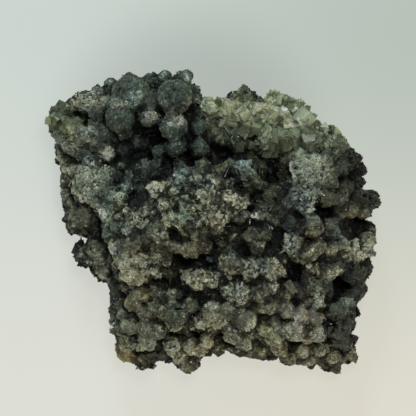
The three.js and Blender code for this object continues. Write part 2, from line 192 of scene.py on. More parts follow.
# Clear yellow-green crystals at the far left tip
LEFT_TIP = (
    (-46.4, 30, 22.5, 3), (-45.6, 32.2, 22, 2.2), (-46.4, 27.8, 21, 2.2), (-45.2, 28.6, 24, 2.4),
)

# Small grey-green knobs down the left edge
LEFT_EDGE = (
    (-44.4, 19.6, 21, 2.2), (-43.2, 16.2, 22, 2.6), (-43.6, 12.8, 20, 2.4), (-43.4, 9.2, 19, 2.6),
    (-40.8, 15.6, 26, 2.6),
)

# Blue-green ledges between the left shoulder and the plateau
SADDLE = (
    (-36.6, 13.2, 32, 3.7), (-40, 11.2, 30, 2.4), (-31.8, 13.8, 33, 3.2), (-33.6, 9.2, 34, 3.4),
    (-38.4, 8.6, 31.5, 2.3), (-28.2, 7, 38, 2.9), (-32.1, 4.8, 36, 2.7), (-24.6, 11.1, 35.5, 3.1),
    (-21.6, 15.3, 35, 3.1), (-20.6, 9.6, 37, 2.6), (-26.1, 16.5, 32, 3), (-26.1, 2.7, 40, 3.1),
    (-30.2, 1.5, 37.5, 2.7), (-30.6, -3.2, 36.5, 2.5), (-27.6, -0.9, 39.5, 2.5), (-16.6, 16.2, 37, 2.8),
)

# Pale blocks of the high plateau
PLATEAU_PALE = (
    (-16, 9.8, 43.5, 2.9), (-13.5, 9.3, 44, 2.4), (-14.1, 4.8, 45, 3), (-10.2, 11.4, 43.8, 3.2),
    (-5.4, 13, 43, 3), (-0.6, 11.4, 43, 3), (-7.5, 7.2, 45, 3.2), (-2.1, 6.9, 45, 3.3),
    (-12.8, 0.3, 45.3, 2.9), (-16.6, -1.8, 44, 3.2), (-7.2, 2.1, 45.8, 3.2), (-18.2, 4.6, 43, 2.9),
)

# Grey and brown crystals of the high plateau
PLATEAU_GREY = (
    (-1.2, 2.1, 45.2, 3.3), (3, 2.7, 44.4, 2.8), (3.9, 7.8, 44.2, 3.2), (8.4, 6.3, 42.5, 2.9),
    (-9.6, 15.6, 41.5, 2.7), (-2.1, 15.6, 41, 2.7), (3.3, 15, 42, 2.8), (6.6, 16.4, 42.5, 2.4),
    (9.6, 15.8, 43.6, 2.9), (11.7, 11.7, 41.5, 2.9), (4.2, 11.7, 43, 2.4), (8.4, 1.8, 41, 2.6),
    (-23.7, -0.9, 42, 3), (-20.8, 2.1, 43, 2.8), (-20.1, -4.2, 43, 3), (-8.1, -2.4, 44, 2.6),
    (-3.6, -3, 43.2, 2.4), (0.9, -1.5, 43, 2.7), (3, -5.4, 40.8, 2),
)

# Overhanging rim of the plateau, along its left and lower side
PLATEAU_RIM = (
    (-23.4, -6, 41, 2.9), (-27.6, -6.9, 38, 2.6), (-25.5, -10.8, 39, 2.8), (-21, -9.9, 40.5, 2.9),
    (-24.3, -14.7, 38, 3), (-22, -16.2, 36.8, 2.2), (-17.1, -14.2, 37.5, 2.6), (-18, -9.3, 41, 2.6),
    (-14.3, -9, 41, 2.3), (-13.6, -11.2, 39.5, 1.9), (-28.2, -12, 35.5, 2.4), (-27, -15.6, 34.5, 2),
    (-11.1, -6.9, 42, 2.6), (-6.6, -7.2, 42, 2.7), (-2.1, -7.2, 41, 2.4), (-15.6, -5.2, 43.2, 2.6),
)

# Clear pale crystals along the upper right
PALE_CRYSTALS = (
    (-0.3, 34, 33.5, 2.6), (3.8, 33.4, 33.5, 2.8), (9.6, 36.8, 32.5, 3.6), (11.4, 32.7, 35.5, 3.1),
    (15, 30.6, 36.5, 3.3), (17.6, 35.2, 33, 3), (20.6, 35.5, 31.5, 2.6), (18.9, 31.8, 35.5, 3),
    (22.8, 30.6, 36, 3), (24.4, 33.6, 33, 2.8), (26.4, 28.8, 34.8, 3.1), (27.8, 31.3, 32.5, 2.7),
    (21.9, 26.1, 36.5, 3.1), (15.9, 26.1, 36, 2.8), (9.9, 28.2, 35, 3), (5.4, 29.4, 33, 2.8),
    (29.4, 24.6, 34.8, 2.8), (33, 26.2, 31.5, 2.6), (36, 25.8, 30, 2.5), (30.2, 28, 32, 2.5),
)

# Green blocks under and beside the pale crystals
GREEN_BLOCKS = (
    (3, 25.2, 32.5, 2.8), (7.5, 23.4, 33.5, 2.5), (11.4, 22.8, 34, 2.5), (16.2, 22.6, 34.5, 2.6),
    (36.9, 21.9, 32, 3.6), (33.6, 18.6, 34, 3.1), (40.5, 19.8, 29, 3.1), (38.4, 15.9, 31, 2.8),
    (25.8, 21.9, 33, 2.7), (21.9, 20.4, 33, 2.5), (20.6, 16.2, 31.5, 2.7), (25.4, 17.1, 36, 3.2),
    (29.4, 16.5, 36.5, 3.4), (26.6, 13.8, 36.8, 2.8), (30.9, 13.6, 36.5, 2.5), (34.8, 12.6, 35, 2.7),
)

# Blue-grey slab with a pale edge, and the lumps round it
RIGHT_SLAB = (
    (25.5, 8.1, 37.5, 3.8), (29, 8.4, 38.5, 2.9), (22.5, 5.4, 37.5, 3.2), (27.5, 5, 38.2, 2.9),
    (15.3, 6.6, 38.5, 3), (18.9, 8.4, 35.5, 2.9), (18.9, 1.8, 39, 3.4), (13.5, 2.1, 40, 2.4),
    (22.5, 0, 38.6, 3),
)

# Dark knobs of the right shoulder, and the block at the far right
RIGHT_SHOULDER = (
    (33.9, 7.2, 34, 3), (38.4, 7.2, 32, 2.8), (39.9, 10.8, 30.5, 2.7), (44.6, 7.2, 28, 3.4),
    (47.9, 7.4, 26, 2.6), (41.4, 3.9, 30, 2.7), (45.2, 3.3, 27.5, 2.5), (44.2, 15.8, 24, 2.5),
    (42, 12, 25.5, 2.8), (37.5, 3, 31, 2.6),
)

# Round beige and green balls right of the middle
RIGHT_BALLS = (
    (29.4, -1, 37.8, 3.8), (24, -6, 38, 3.9), (29.2, -9, 37.8, 3), (26.4, -10.2, 37.6, 2.5),
    (31.6, -6.9, 37, 2.9), (35.2, -0.6, 33, 2.5), (35.7, -3.3, 32, 2.7), (35.7, -8.4, 31, 1.7),
    (39, -6, 31, 2.2), (42.3, -7.5, 29, 2.3), (40.5, -9.9, 28.5, 2.2), (46.4, -5.4, 24, 2.9),
    (46.6, -9.3, 24, 2.3), (44, -10.2, 27, 2.1), (47.2, -1.8, 20, 2.4),
)

# Smooth green domes with pale rims, in the middle of the front
GREEN_DOMES = (
    (5.4, -12, 38.5, 4.5), (11.4, -13.8, 38.5, 3.9), (16.8, -13.8, 38, 3.9), (20.7, -14.7, 37.5, 2),
    (16.8, -18.9, 37.5, 3.3), (9, -21.6, 38, 3.5), (9.9, -28.6, 35, 4), (15, -3, 39.5, 3),
    (13.2, -6.9, 39, 3), (10.4, -3.4, 40, 2.4), (4.8, -26, 34.5, 3.2), (12.9, -20.4, 37.6, 2.6),
)

# Rounded knobs across the lower middle
FRONT_BALLS = (
    (0, -26.1, 35, 3.6), (0.9, -29.7, 33, 2.4), (0, -17.1, 37, 2.9), (-4.5, -17.7, 38, 2.9),
    (-7.8, -15.9, 35.5, 2.5), (-11.1, -27, 33.5, 3.9), (-14.2, -26.4, 33, 2.2), (-11.1, -30.3, 31, 2.4),
    (-12, -21.6, 33, 2.9), (-6.3, -24.3, 34, 2.9), (-3.6, -29.7, 32, 2.4), (-16.5, -20.4, 31.5, 2.5),
    (4.8, -20.2, 36, 2.8),
)

# Granular brown and beige crust, lower right
BROWN_CRUST = (
    (17.4, -24.6, 35, 2.9), (21.9, -25.8, 33.5, 3), (26.4, -27.6, 32.5, 3.1), (30.9, -27.9, 31.5, 2.7),
    (24.3, -32, 30.5, 4.1), (31.8, -33, 29.5, 2.9), (13.8, -24.6, 35, 2.5), (28.4, -34, 28.5, 2.6),
)

# Olive slab that runs down to the lower edge
OLIVE_SLAB = (
    (15.9, -31.5, 31.5, 2.9), (18.3, -34.2, 29.5, 3), (20, -37.2, 27, 2.9), (22.8, -40.2, 22, 3),
)

# Dark hollowed ground between the right balls and the right edge
RIGHT_HOLLOW = (
    (22.5, -19.8, 32, 2.9), (26.1, -19.5, 31.5, 2.6), (31.8, -20.4, 32, 2.3), (31.8, -23.7, 32, 2.2),
    (33.9, -14.1, 31, 2.9), (36.9, -13.8, 30.5, 2.5), (29.4, -14.1, 33, 2.7), (34.8, -19.8, 28, 2.4),
    (42.6, -15.6, 24, 3.4), (44, -20.1, 20, 2.8), (46, -13, 21.5, 2.6), (41.6, -23.4, 21.5, 2.5),
    (39.6, -24.3, 24.5, 2.2), (42.2, -26.7, 18.5, 2.4), (36.9, -27, 27, 3.1), (38.1, -31.5, 24.5, 3.4),
    (41.2, -30.6, 19.5, 2.5), (38.8, -35.4, 21.5, 2.9),
)

# Knobs along the lower edge
LOWER_EDGE = (
    (32.4, -37.5, 23, 2.9), (27.3, -38.1, 22.5, 3), (36.6, -39.9, 17, 3), (40.8, -39.6, 15, 3),
    (35.2, -42, 14, 2.5), (29.4, -41, 16.5, 2.6), (25.8, -41, 17, 2.4), (-12, -36.6, 25, 2.8),
    (-9.6, -40, 21, 2.9), (-7.4, -43, 17.5, 2.6), (-6.6, -37.2, 24, 2.9), (-3.8, -38.4, 22, 2.7),
    (-1.5, -35.7, 24.5, 2.7), (1.8, -37.5, 20, 2.6), (7.2, -37.8, 20, 2.1), (9.9, -36.3, 23, 2.6),
    (11.7, -37.8, 19, 2.3), (15, -38.7, 18, 2.4), (18, -39.9, 15.5, 2.2), (5.4, -33.9, 27, 2.7),
    (-16.5, -38.4, 21, 2.6),
)

# Knobs of the lower left corner
LOWER_LEFT = (
    (-21, -21, 31, 2.9), (-23.7, -24.3, 30, 2.9), (-20.1, -27, 30, 2.6), (-17.1, -24.9, 31, 2.3),
    (-28, -19.5, 24, 3.2), (-28.2, -24, 23.5, 2.5), (-29.2, -26.7, 21.5, 2.3), (-26.7, -27.3, 25, 2.5),
    (-24.6, -30.9, 27, 3), (-19.5, -31.5, 29, 3.1), (-27, -31.8, 22.5, 2.8), (-16.2, -32.7, 29, 2.6),
    (-19.2, -35.7, 26, 3.1), (-25.2, -36.3, 21, 3.3), (-18.6, -40.2, 19.5, 3.1), (-20.2, -42, 17.5, 2.2),
    (-24.8, -19, 30, 2.5),
)

# Clear amber lump at the lower left
AMBER_FOOT = (
    (-25.6, -38.6, 16.5, 3.7), (-23.1, -40, 15.5, 3.2),
)

# Dark brown rock that shows below the plateau's rim, on the left
DARK_SKIRT = (
    (-39.6, 2.1, 21, 4.6), (-42, 4.4, 19, 2.9), (-41.4, -0.2, 18.5, 3), (-36.6, -0.9, 21, 3.6),
    (-43.6, 5.9, 16, 2.2), (-36, -4.8, 20, 2.4), (-38.1, -10.2, 19.5, 3), (-39.4, -9.2, 18.5, 2.7),
    (-38.8, -11.6, 17.5, 2.3), (-34.5, -7.8, 22, 3.1), (-32.7, -13.8, 20, 3.2), (-31.2, -16.2, 18, 2.3),
    (-33.6, -10.8, 21, 3),
)

# Pits, each x, y, radius and depth
PITS = (
    (-9, 19, 3.2, 12), (-3, 18.6, 3.4, 12), (4, 19.4, 3, 9), (18, 13.6, 3.2, 9), (-8, -11.2, 4, 10),
    (-2.5, -12, 2.6, 8), (43.2, -0.6, 3.4, 9), (-17, -18.2, 2.6, 8), (23.4, -14.4, 2.4, 7),
    (37.5, -19.6, 3.6, 9), (-10.5, -34, 2.6, 7), (-4.5, -33.6, 2.6, 7), (3.4, -34, 2, 6),
    (-33.5, -1.5, 3.4, 9), (-15.6, 25.6, 2.2, 9), (-26, 11.8, 2, 5), (32.8, 3, 2.4, 6), (-18, 19.4, 2, 6),
)

# Dark gaps and hollows between the lumps: x, y, radius and depth
HOLLOWS = (
    (6.7, 32.0, 1.4, 2.5), (-10.6, 33.0, 1.6, 2.5),
    (-4.3, 34.0, 1.5, 4), (-3.8, 31.6, 1.2, 3), (-5.5, 15.5, 1.5, 1.5),
    (-14.8, 12.2, 1.5, 3), (-5.7, 18.3, 2.1, 4), (-9.0, 18.6, 2.4, 3), (12.8, 18.2, 1.5, 3),
    (19.1, 20.3, 1.5, 3), (-26.2, 14.0, 1.5, 3), (-28.4, 11.7, 0.9, 2), (-23.2, 8.4, 1.2, 2.5),
    (-34.8, 0.6, 2.1, 5), (-37.2, -1.8, 1.5, 3), (-26.9, -1.1, 0.9, 2), (-30.9, -8.7, 1.2, 3),
    (-8.3, -4.1, 1.8, 3), (-10.7, -3.2, 1.2, 2), (4.4, -3.5, 0.9, 2.5), (-1.8, -2.9, 1.2, 2),
    (-9.6, -11.9, 2.1, 5), (-6.6, -10.1, 1.8, 4), (-2.7, -10.7, 1.8, 4), (8.3, -7.4, 1.2, 3),
    (4.7, -5.9, 1.2, 2), (-22.8, -10.0, 0.9, 1.5), (-15.4, -8.2, 0.9, 1.5), (-19.2, -18.6, 1.5, 4),
    (-16.2, -17.7, 1.5, 4), (-12.5, -17.3, 1.8, 4), (-20.0, -24.5, 1.2, 3), (-18.5, -23.3, 0.9, 2),
    (-4.2, -21.4, 1.2, 3), (-7.2, -20.2, 1.2, 3), (1.5, -20.5, 1.2, 3), (2.4, -34.7, 1.5, 3.5),
    (4.2, -33.5, 0.9, 3), (-11.7, -33.8, 1.5, 4), (-8.7, -34.7, 1.5, 3), (-4.8, -34.2, 1.5, 4),
    (-0.6, -34.7, 1.3, 2), (23.9, -12.5, 1.5, 3), (23.0, -15.2, 1.5, 3.5),
    (26.0, -14.6, 1.2, 3), (29.8, -16.3, 1.5, 3), (31.7, -17.6, 1.2, 2.5), (33.6, -13.1, 1.5, 3),
    (28.7, -20.9, 1.5, 3), (25.7, -23.6, 1.2, 3), (38.7, -20.9, 2.1, 4), (40.4, -17.8, 1.8, 4),
    (41.4, -13.2, 1.8, 3), (43.8, 0.6, 2.4, 3), (40.9, -0.6, 1.8, 3), (46.4, -0.0, 1.5, 3),
    (35.3, 2.4, 1.2, 2.5), (33.0, 3.0, 0.9, 2), (27.1, -3.5, 0.9, 2.5), (33.7, -5.3, 1.2, 3),
    (36.6, -4.7, 1.2, 2.5), (13.9, -36.8, 0.9, 1.5), (17.8, -39.3, 1.2, 3),
    (24.1, -36.7, 1.5, 3), (32.4, -36.9, 1.5, 3.5), (39.0, -38.7, 0.9, 1.5), (37.1, -29.0, 1.2, 3),
    (40.6, -28.9, 0.9, 2.5), (32.8, -26.5, 1.5, 3.5), (-39.5, 32.7, 1.2, 3), (-37.4, 31.7, 0.9, 2.5),
    (-31.8, 25.0, 0.9, 2), (-36.3, 29.2, 1.2, 2), (-21.1, 26.5, 1.5, 4), (-29.0, 22.7, 1.2, 3),
    (-17.6, 40.3, 1.2, 3), (-15.5, 33.3, 1.2, 4), (-6.6, 32.8, 1.8, 5), (-8.0, 33.7, 1.2, 2),
    (3.0, 29.8, 1.2, 2.5), (5.9, 30.7, 1.2, 2.5), (17.2, 21.4, 1.5, 3.5), (14.0, 21.5, 1.5, 3),
    (10.1, 22.0, 1.5, 2.5), (23.3, 22.7, 1.2, 2.5), (0.9, 21.5, 1.8, 3), (3.9, 20.1, 1.8, 3),
    (26.0, 9.5, 0.9, 1), (31.0, 4.8, 0.9, 2), (8.3, -9.7, 0.9, 2), (11.2, -11.8, 0.9, 2),
    (14.8, 0.0, 0.9, 1.5), (9.1, 7.7, 1.2, 2), (11.3, 4.2, 1.2, 2), (18.6, 2.4, 1.2, 2),
    (21.6, 0.1, 1.5, 2), (19.0, -7.7, 1.5, 2.5), (16.6, -23.1, 0.9, 1), (-5.0, 0.1, 0.9, 1.5),
    (-0.6, -0.8, 1.2, 2), (-25.1, -28.7, 0.9, 2), (-14.1, -36.9, 1.2, 2),
    (-17.1, -38.5, 0.9, 2), (-2.1, -18.6, 0.9, 1.5), (3.8, -20.1, 0.9, 2), (11.3, -24.1, 0.9, 1.5),
    (9.2, -23.0, 0.9, 1), (29.2, -11.9, 0.9, 1.5), (39.7, -8.4, 0.9, 1.5), (35.1, -2.9, 0.9, 1.5),
    (12.7, 10.7, 1.5, 2), (14.5, 7.8, 1.2, 2), (-18.3, 5.1, 0.9, 1.5), (-21.3, 5.1, 1.2, 2),
    (-29.6, 6.6, 0.9, 1.5), (-31.8, 11.0, 0.9, 1), (-41.2, 18.6, 1.2, 2), (-39.4, 21.5, 1.2, 2),
    (-43.5, -2.4, 1.2, 2), (-33.4, 21.5, 1.5, 2), (-24.4, 18.5, 1.5, 2.5), (-19.9, 14.0, 1.5, 2),
    (-16.9, 16.9, 1.5, 3), (-27.4, 18.5, 1.2, 2), (-12.5, 15.5, 1.5, 2), (-2.1, 16.0, 1.5, 2.5),
    (3.0, 18.5, 1.2, 2), (8.3, 11.9, 0.9, 1.5), (3.8, 9.5, 0.9, 1), (20.2, 17.0, 1.5, 3),
    (18.9, 13.2, 1.2, 2), (23.2, 20.0, 1.2, 2), (41.1, 12.0, 1.2, 2), (38.3, 12.6, 1.2, 2),
    (36.7, 14.9, 0.9, 1.5), (45.0, 12.0, 0.9, 2),
)

# Ridges, rims and small lumps that grow out of the surface, each from one end to the other:
# x, y, x, y, radius and how far it is lifted
CREAM_EDGES = (
    (2.5, -36.5, 5.5, -37.5, 1.7, 0.6),
    (-14.5, 5.5, -11.5, 3.5, 1.7, 0.5),
    (-42.4, 9.6, -40.5, 8.1, 1, 0.5), (-40.5, 8.1, -38.5, 6.9, 1, 0.5), (-38.5, 6.9, -35.9, 6.0, 1, 0.5),
    (-35.9, 6.0, -33.9, 3.6, 0.9, 0.5), (-33.9, 3.6, -32.0, 1.2, 0.9, 0.4),
    (-29.3, -7.1, -28.3, -9.5, 0.9, 0.4), (-28.3, -9.5, -26.4, -13.0, 1, 0.4),
    (-26.4, -13.0, -24.9, -16.2, 1.1, 0.5), (-24.9, -16.2, -23.6, -19.1, 1.3, 0.6),
    (-23.6, -19.1, -21.4, -17.5, 1.1, 0.5), (-21.4, -17.5, -18.8, -16.4, 1.1, 0.5),
    (-18.8, -16.4, -15.5, -16.1, 1.2, 0.5), (-15.5, -16.1, -14.3, -13.9, 1.1, 0.4),
    (-19.0, -13.6, -15.4, -13.6, 1.3, 0.4), (-16.2, 9.7, -14.2, 10.3, 1.3, 0.6),
    (-13.6, -1.1, -15.4, -4.3, 1.1, 0.6), (-15.4, -4.3, -16.2, -5.2, 0.8, 0.5),
    (-17.7, -7.9, -16.3, -7.7, 1, 0.5), (-21.9, -9.4, -20.4, -12.1, 2.2, 0.3),
    (2.0, 3.3, 2.6, 1.0, 1.7, 0.5), (5.6, 3.0, 7.4, 4.8, 0.6, 0.5), (4.7, 6.6, 7.1, 7.4, 1.8, 0.3),
    (-11.2, -1.1, -8.3, -0.8, 0.6, 0.5), (-9.5, -2.6, -6.5, -4.7, 0.5, 0.5),
    (-4.7, -0.2, -3.3, 1.0, 0.5, 0.4), (-3.9, -2.6, -2.1, -2.3, 0.5, 0.4),
    (-7.7, -8.5, -3.0, -9.2, 0.8, 0.4), (1.5, -12.1, 2.4, -10.3, 0.6, 0.5),
    (2.4, -10.3, 4.1, -8.5, 0.6, 0.5), (5.9, -3.8, 7.7, -3.5, 1.2, 0.8),
    (10.6, -5.0, 14.8, -5.6, 0.6, 0.4), (14.8, -5.6, 17.1, -3.8, 0.7, 0.4),
    (10.4, -0.8, 13.6, -0.3, 0.5, 0.4), (12.4, 2.4, 13.0, 1.8, 1, 0.9), (13.9, 2.1, 15.7, 1.5, 1, 0.9),
    (29.7, 11.3, 31.9, 9.9, 0.9, 0.6), (31.9, 9.9, 30.2, 6.6, 0.7, 0.5), (30.2, 6.6, 29.0, 3.6, 0.7, 0.5),
    (18.3, -11.5, 18.9, -12.4, 1.8, 0.5), (19.5, -15.1, 21.3, -14.5, 1.7, 0.5),
    (35.2, -16.1, 37.8, -14.0, 0.9, 0.5),
    (41.5, -6.8, 42.4, -8.9, 1.1, 0.3), (43.7, -9.6, 44.9, -10.5, 1.2, 0.4),
    (46.2, -8.1, 48.0, -9.3, 1.4, 0.3), (6.0, -31.7, 9.0, -32.7, 0.9, 0.4),
    (9.0, -32.7, 11.9, -30.5, 0.9, 0.4), (18.9, -18.3, 19.4, -20.8, 0.7, 0.4),
    (19.4, -20.8, 17.5, -22.2, 0.7, 0.4), (-14.9, -25.6, -13.8, -29.6, 1, 0.4),
    (-13.8, -29.6, -10.7, -31.9, 1, 0.4), (-10.7, -31.9, -7.5, -30.2, 1, 0.4),
    (-6.6, -31.8, -2.1, -29.8, 1.2, 0.6), (-2.1, -29.8, 3.0, -29.5, 1.2, 0.6),
    (3.0, -29.5, 5.4, -31.7, 1, 0.5), (-6.5, -16.3, -3.6, -15.4, 2.2, 0.4),
    (-1.2, -18.0, 0.9, -19.2, 1.1, 0.4), (7.4, -19.2, 9.2, -21.0, 2.4, 0.2),
    (-31.5, 20.0, -30.1, 20.9, 0.9, 0.5),
    (-12.0, -39.0, -9.3, -41.8, 1.5, 0.3), (11.4, -32.0, 15.0, -35.5, 0.8, 0.4),
    (26.7, -12.1, 31.5, -13.7, 0.8, 0.3),
)
BEIGE_LUMPS = (
    (13.2, -21.5, 15.0, -24.0, 1.6, 0.8),
    (-23.5, -41.5, -18, -42.3, 1.6, -1), (-9.5, -42.8, -5.2, -43.6, 1.9, -0.5),
    (7, -39.4, 12, -40, 1.2, -0.5), (13, -40.4, 19, -41.6, 1.3, -0.5), (40.5, -41.2, 36.8, -43.6, 2, -0.5),
    (42.2, -37.5, 42.6, -40.5, 1.6, -0.5), (47.6, -1, 48.2, -6.5, 1.6, -1),
    (18.5, -22, 21.5, -22.3, 1.5, 2), (28.2, -31, 30.5, -30.6, 1.6, 3),
    (26.6, -9.7, 31.1, -7.1, 2.2, 0.6), (-25.1, -24.4, -22.1, -20.5, 1.6, 0.3),
    (-22.1, -20.5, -19.4, -22.3, 1.4, 0.3), (-19.1, -28.6, -16.1, -26.9, 1.4, 0.3),
    (34.3, -8.3, 34.9, -7.1, 0.6, 0.5), (34.9, -7.1, 36.4, -7.4, 0.6, 0.5),
    (36.4, -7.4, 36.7, -8.9, 0.6, 0.5), (36.7, -8.9, 35.5, -9.8, 0.6, 0.5),
    (35.5, -9.8, 34.3, -8.6, 0.6, 0.5), (-7.8, -43.7, -4.8, -42.3, 2, 0.2),
    (0.9, -38.2, 3.0, -39.8, 1.3, 0.2), (39.7, 3.3, 44.2, 2.7, 0.9, 0.4), (44.2, 2.7, 48.1, 2.1, 0.9, 0.3),
    (-11.8, -6.7, -7.7, -7.9, 1.6, 0.3), (-7.7, -7.6, -3.3, -7.9, 1.5, 0.3),
    (21.3, -39.9, 24.0, -42.1, 1.6, 0.2), (33.3, -43.0, 38.2, -44.3, 1.8, 0.2),
    (40.2, -39.3, 43.3, -40.9, 1.6, 0.2), (14.8, -25.5, 20.2, -24.1, 1.4, 0.3),
)
# Fibres round the rim of the highest ball, and short pale streaks on the tops of the balls below it, painted
# as glints, which are painted highlights
BALL_FIBRES_AND_GLINTS = (
    (-16.4, 36.9, -15.5, 34.5, 0.5, 0.3), (-15.4, 35.8, -14.6, 33.6, 0.5, 0.3),
    (-14.5, 35.2, -13.3, 32.9, 0.45, 0.3), (-8.6, 33.1, -8.0, 34.9, 0.45, 0.3),
    (-7.5, 33.4, -7.1, 35.5, 0.5, 0.3), (-6.6, 34.6, -6.0, 36.7, 0.5, 0.3),
    (-12.1, 31.0, -11.5, 29.9, 0.5, 0.25), (-10.4, 31.7, -9.8, 29.6, 0.6, 0.25),
    (-8.9, 31.1, -8.6, 29.9, 0.5, 0.25), (-19.5, 32.3, -18.9, 30.8, 0.5, 0.25),
    (-17.7, 32.3, -17.2, 30.5, 0.6, 0.25), (-21.4, 33.3, -20.7, 32.0, 0.4, 0.2),
    (-28.9, 34.9, -26.9, 35.2, 0.8, 0.3),
)
PALE_GREEN = (
    (6.8, -17.5, 9.2, -19.0, 2.1, 0.8),
    (5.5, -35.5, 9.5, -37.2, 1.7, 1.0), (10.5, -34.0, 12.5, -33.0, 1.5, 0.8),
    (-15.5, -22.5, -12.5, -24.0, 1.8, 0.8), (-23.5, -36.0, -20.5, -37.5, 1.8, 0.6),
    (21.9, -5.9, 24.3, -8.8, 1.6, 0.2), (18.6, -30, 20.8, -31, 1.8, 3),
    (-36.9, 14.6, -33.4, 16.7, 1.5, 0.4), (-38.1, 10.5, -34.5, 12.2, 1.5, 0.4),
    (-13.0, 2.7, -11.2, 3.0, 1.6, 0.7), (-2.4, 9.5, 0.6, 7.4, 2.2, 0.3), (-27.3, 7.2, -27.0, 5.4, 1.5, 0.4),
    (-24.2, 1.2, -22.4, 2.7, 1.7, 0.4), (-25.4, -2.0, -23.9, -0.5, 1.6, 0.3),
    (-6.5, 4.5, -5.0, 5.7, 1, 0.4), (24.9, 16.7, 27.0, 18.4, 2.2, 0.3), (27.0, 14.9, 29.6, 13.1, 2.2, 0.3),
    (29.0, 17.5, 31.4, 15.5, 2.2, 0.3), (22.1, 14.1, 23.0, 14.3, 1, 0.9),
    (-37.5, 37.8, -33.3, 39.0, 1.7, 0.3), (-41.8, 36.1, -38.7, 36.9, 1.5, 0.3),
    (-44.2, 24.2, -41.2, 25.4, 1.6, 0.3), (-40.6, 26.3, -36.3, 26.5, 1.4, 0.4),
    (15.5, 11.9, 21.2, 12.3, 0.7, 0.5),
    (30.8, -18.5, 31.8, -23.8, 1.2, 0.5), (39.9, -23.4, 41.6, -28.0, 1.2, 0.4),
    (11.8, -14.4, 13.7, -17.5, 1.7, 0.4), (4.4, -7.1, 4.7, -8.5, 1.2, 0.5),
)
BLUE_WHITE = (
    (7.4, 16.6, 10.6, 17.5, 1.5, 0.9), (9.7, 16.9, 9.2, 13.1, 1.2, 0.8), (9.2, 13.1, 8.0, 10.4, 0.8, 0.6),
    (-10.6, 12.4, -8.6, 13.6, 1.2, 0.4), (-23.9, 36.1, -22.2, 36.7, 1, 0.5),
    (15.4, -10.4, 16.5, -13.5, 1.2, 0.4), (-0.6, -9.5, -0.0, -11.9, 1.8, 0.3),
    (-8.3, -16.0, -8.6, -18.4, 1.1, 0.4), (26.9, 7.8, 28.7, 4.8, 1.6, 0.1),
    (-13.7, 24.5, -10.7, 23.7, 0.8, 0.6), (39.6, -23.7, 41.0, -26.2, 0.7, 0.6),
    (-36.4, 18.8, -35.8, 18.8, 0.6, 0.6),
)
BRIGHT_CRYSTALS = (
    (8.9, 32.4, 13.0, 32.7, 2.3, 0.6), (15.4, 33.3, 19.0, 32.7, 2.2, 0.6),
    (19.0, 32.1, 22.5, 31.2, 2.2, 0.5), (21.4, 34.0, 25.3, 35.4, 1.9, 0.6),
    (17.3, 37.5, 21.1, 37.0, 1.7, 0.4), (23.7, 28.8, 28.5, 29.8, 2.5, 0.4),
    (0.5, 34.2, 1.2, 31.9, 1.7, 0.5), (3.0, 34.5, 7.1, 35.5, 1.6, 0.4), (26.2, 33.4, 27.3, 31.3, 1.4, 0.5),
    (31.6, 27.4, 36.7, 26.9, 1.8, 0.4), (15.4, 26.7, 17.2, 26.2, 1.3, 0.8),
)
TIP_CRYSTALS = (
    (-47.2, 31.0, -45.6, 29.3, 2.5, 0.4), (-44.8, 32.6, -43.4, 30.9, 1.9, 0.5),
    (-45.9, 27.4, -44.6, 26.2, 1.8, 0.4), (-43.2, 28.6, -42.0, 27.2, 1.5, 0.5),
)
GREEN_CRYSTALS = (
    (10.4, 30.0, 14.8, 28.8, 2, 0.3), (10.4, 27.6, 10.1, 24.4, 1.3, 0.5),
    (20.4, 25.8, 23.1, 24.7, 2.1, 0.4),
    (28.8, 25.3, 30.9, 23.8, 1.9, 0.4), (36.3, 23.8, 38.4, 22.3, 1.2, 0.5),
    (17.8, 23.5, 16.0, 21.1, 1.5, 0.5),
    (3.6, 29.8, 5.2, 26.6, 1.6, 0.3), (13.2, 25.8, 14.2, 22.8, 1.5, 0.4), (25.2, 26.4, 26.6, 23.6, 1.7, 0.3),
)
DARK_FACES = (
    (-6.5, 16.2, -3.2, 15.6, 1.5, 0.3),
    (47.8, 8.2, 48.6, 4.8, 1.6, -0.5), (45.6, -13.5, 45, -19.5, 1.5, -0.5),
    (-29.4, -20, -29.6, -27, 1.2, -0.5), (-28.6, -29, -28, -36, 1.2, -0.5),
    (11.2, 15.4, 12.7, 11.6, 2, 0.2), (2.3, 15.4, 5.6, 17.8, 1.8, 0.4), (16.6, 9.5, 19.0, 8.6, 2.4, 0.5),
    (14.8, 4.8, 17.2, 4.8, 2.1, 0.7), (6.8, 37.5, 11.4, 37.1, 1.8, 0.3), (1.8, 26.8, 3.0, 23.8, 1.8, 0.4),
    (11.2, -2.9, 15.4, -2.9, 2.3, 0.5), (3.5, -5.0, 6.5, -5.0, 0.9, 0.5), (2.1, -5.3, 4.1, -2.3, 1.2, 0.5),
    (-24.8, -5.8, -21.2, -4.6, 2.3, 0.4), (-21.7, -39.3, -18.7, -42.1, 2.6, 0.2),
    (36.4, -26.9, 41.5, -30.1, 2.2, 0.4), (34.8, -32.4, 39.9, -34.8, 2, 0.3),
    (33.6, 7.8, 38.1, 6.6, 2.2, 0.3), (-12.5, -27.6, -9.5, -28.2, 2.8, 0.4),
)
AMBER_LUMPS = (
    (-28.5, -38.2, -24.5, -41.2, 2.2, -0.5), (-26.5, -39.0, -22.5, -42.0, 2.0, -1),
)
OLIVE_FACES = (
    (14.3, -30.7, 19.1, -35.2, 2.5, 0.3), (19.1, -35.2, 21.9, -39.6, 1.5, 0.3),
)

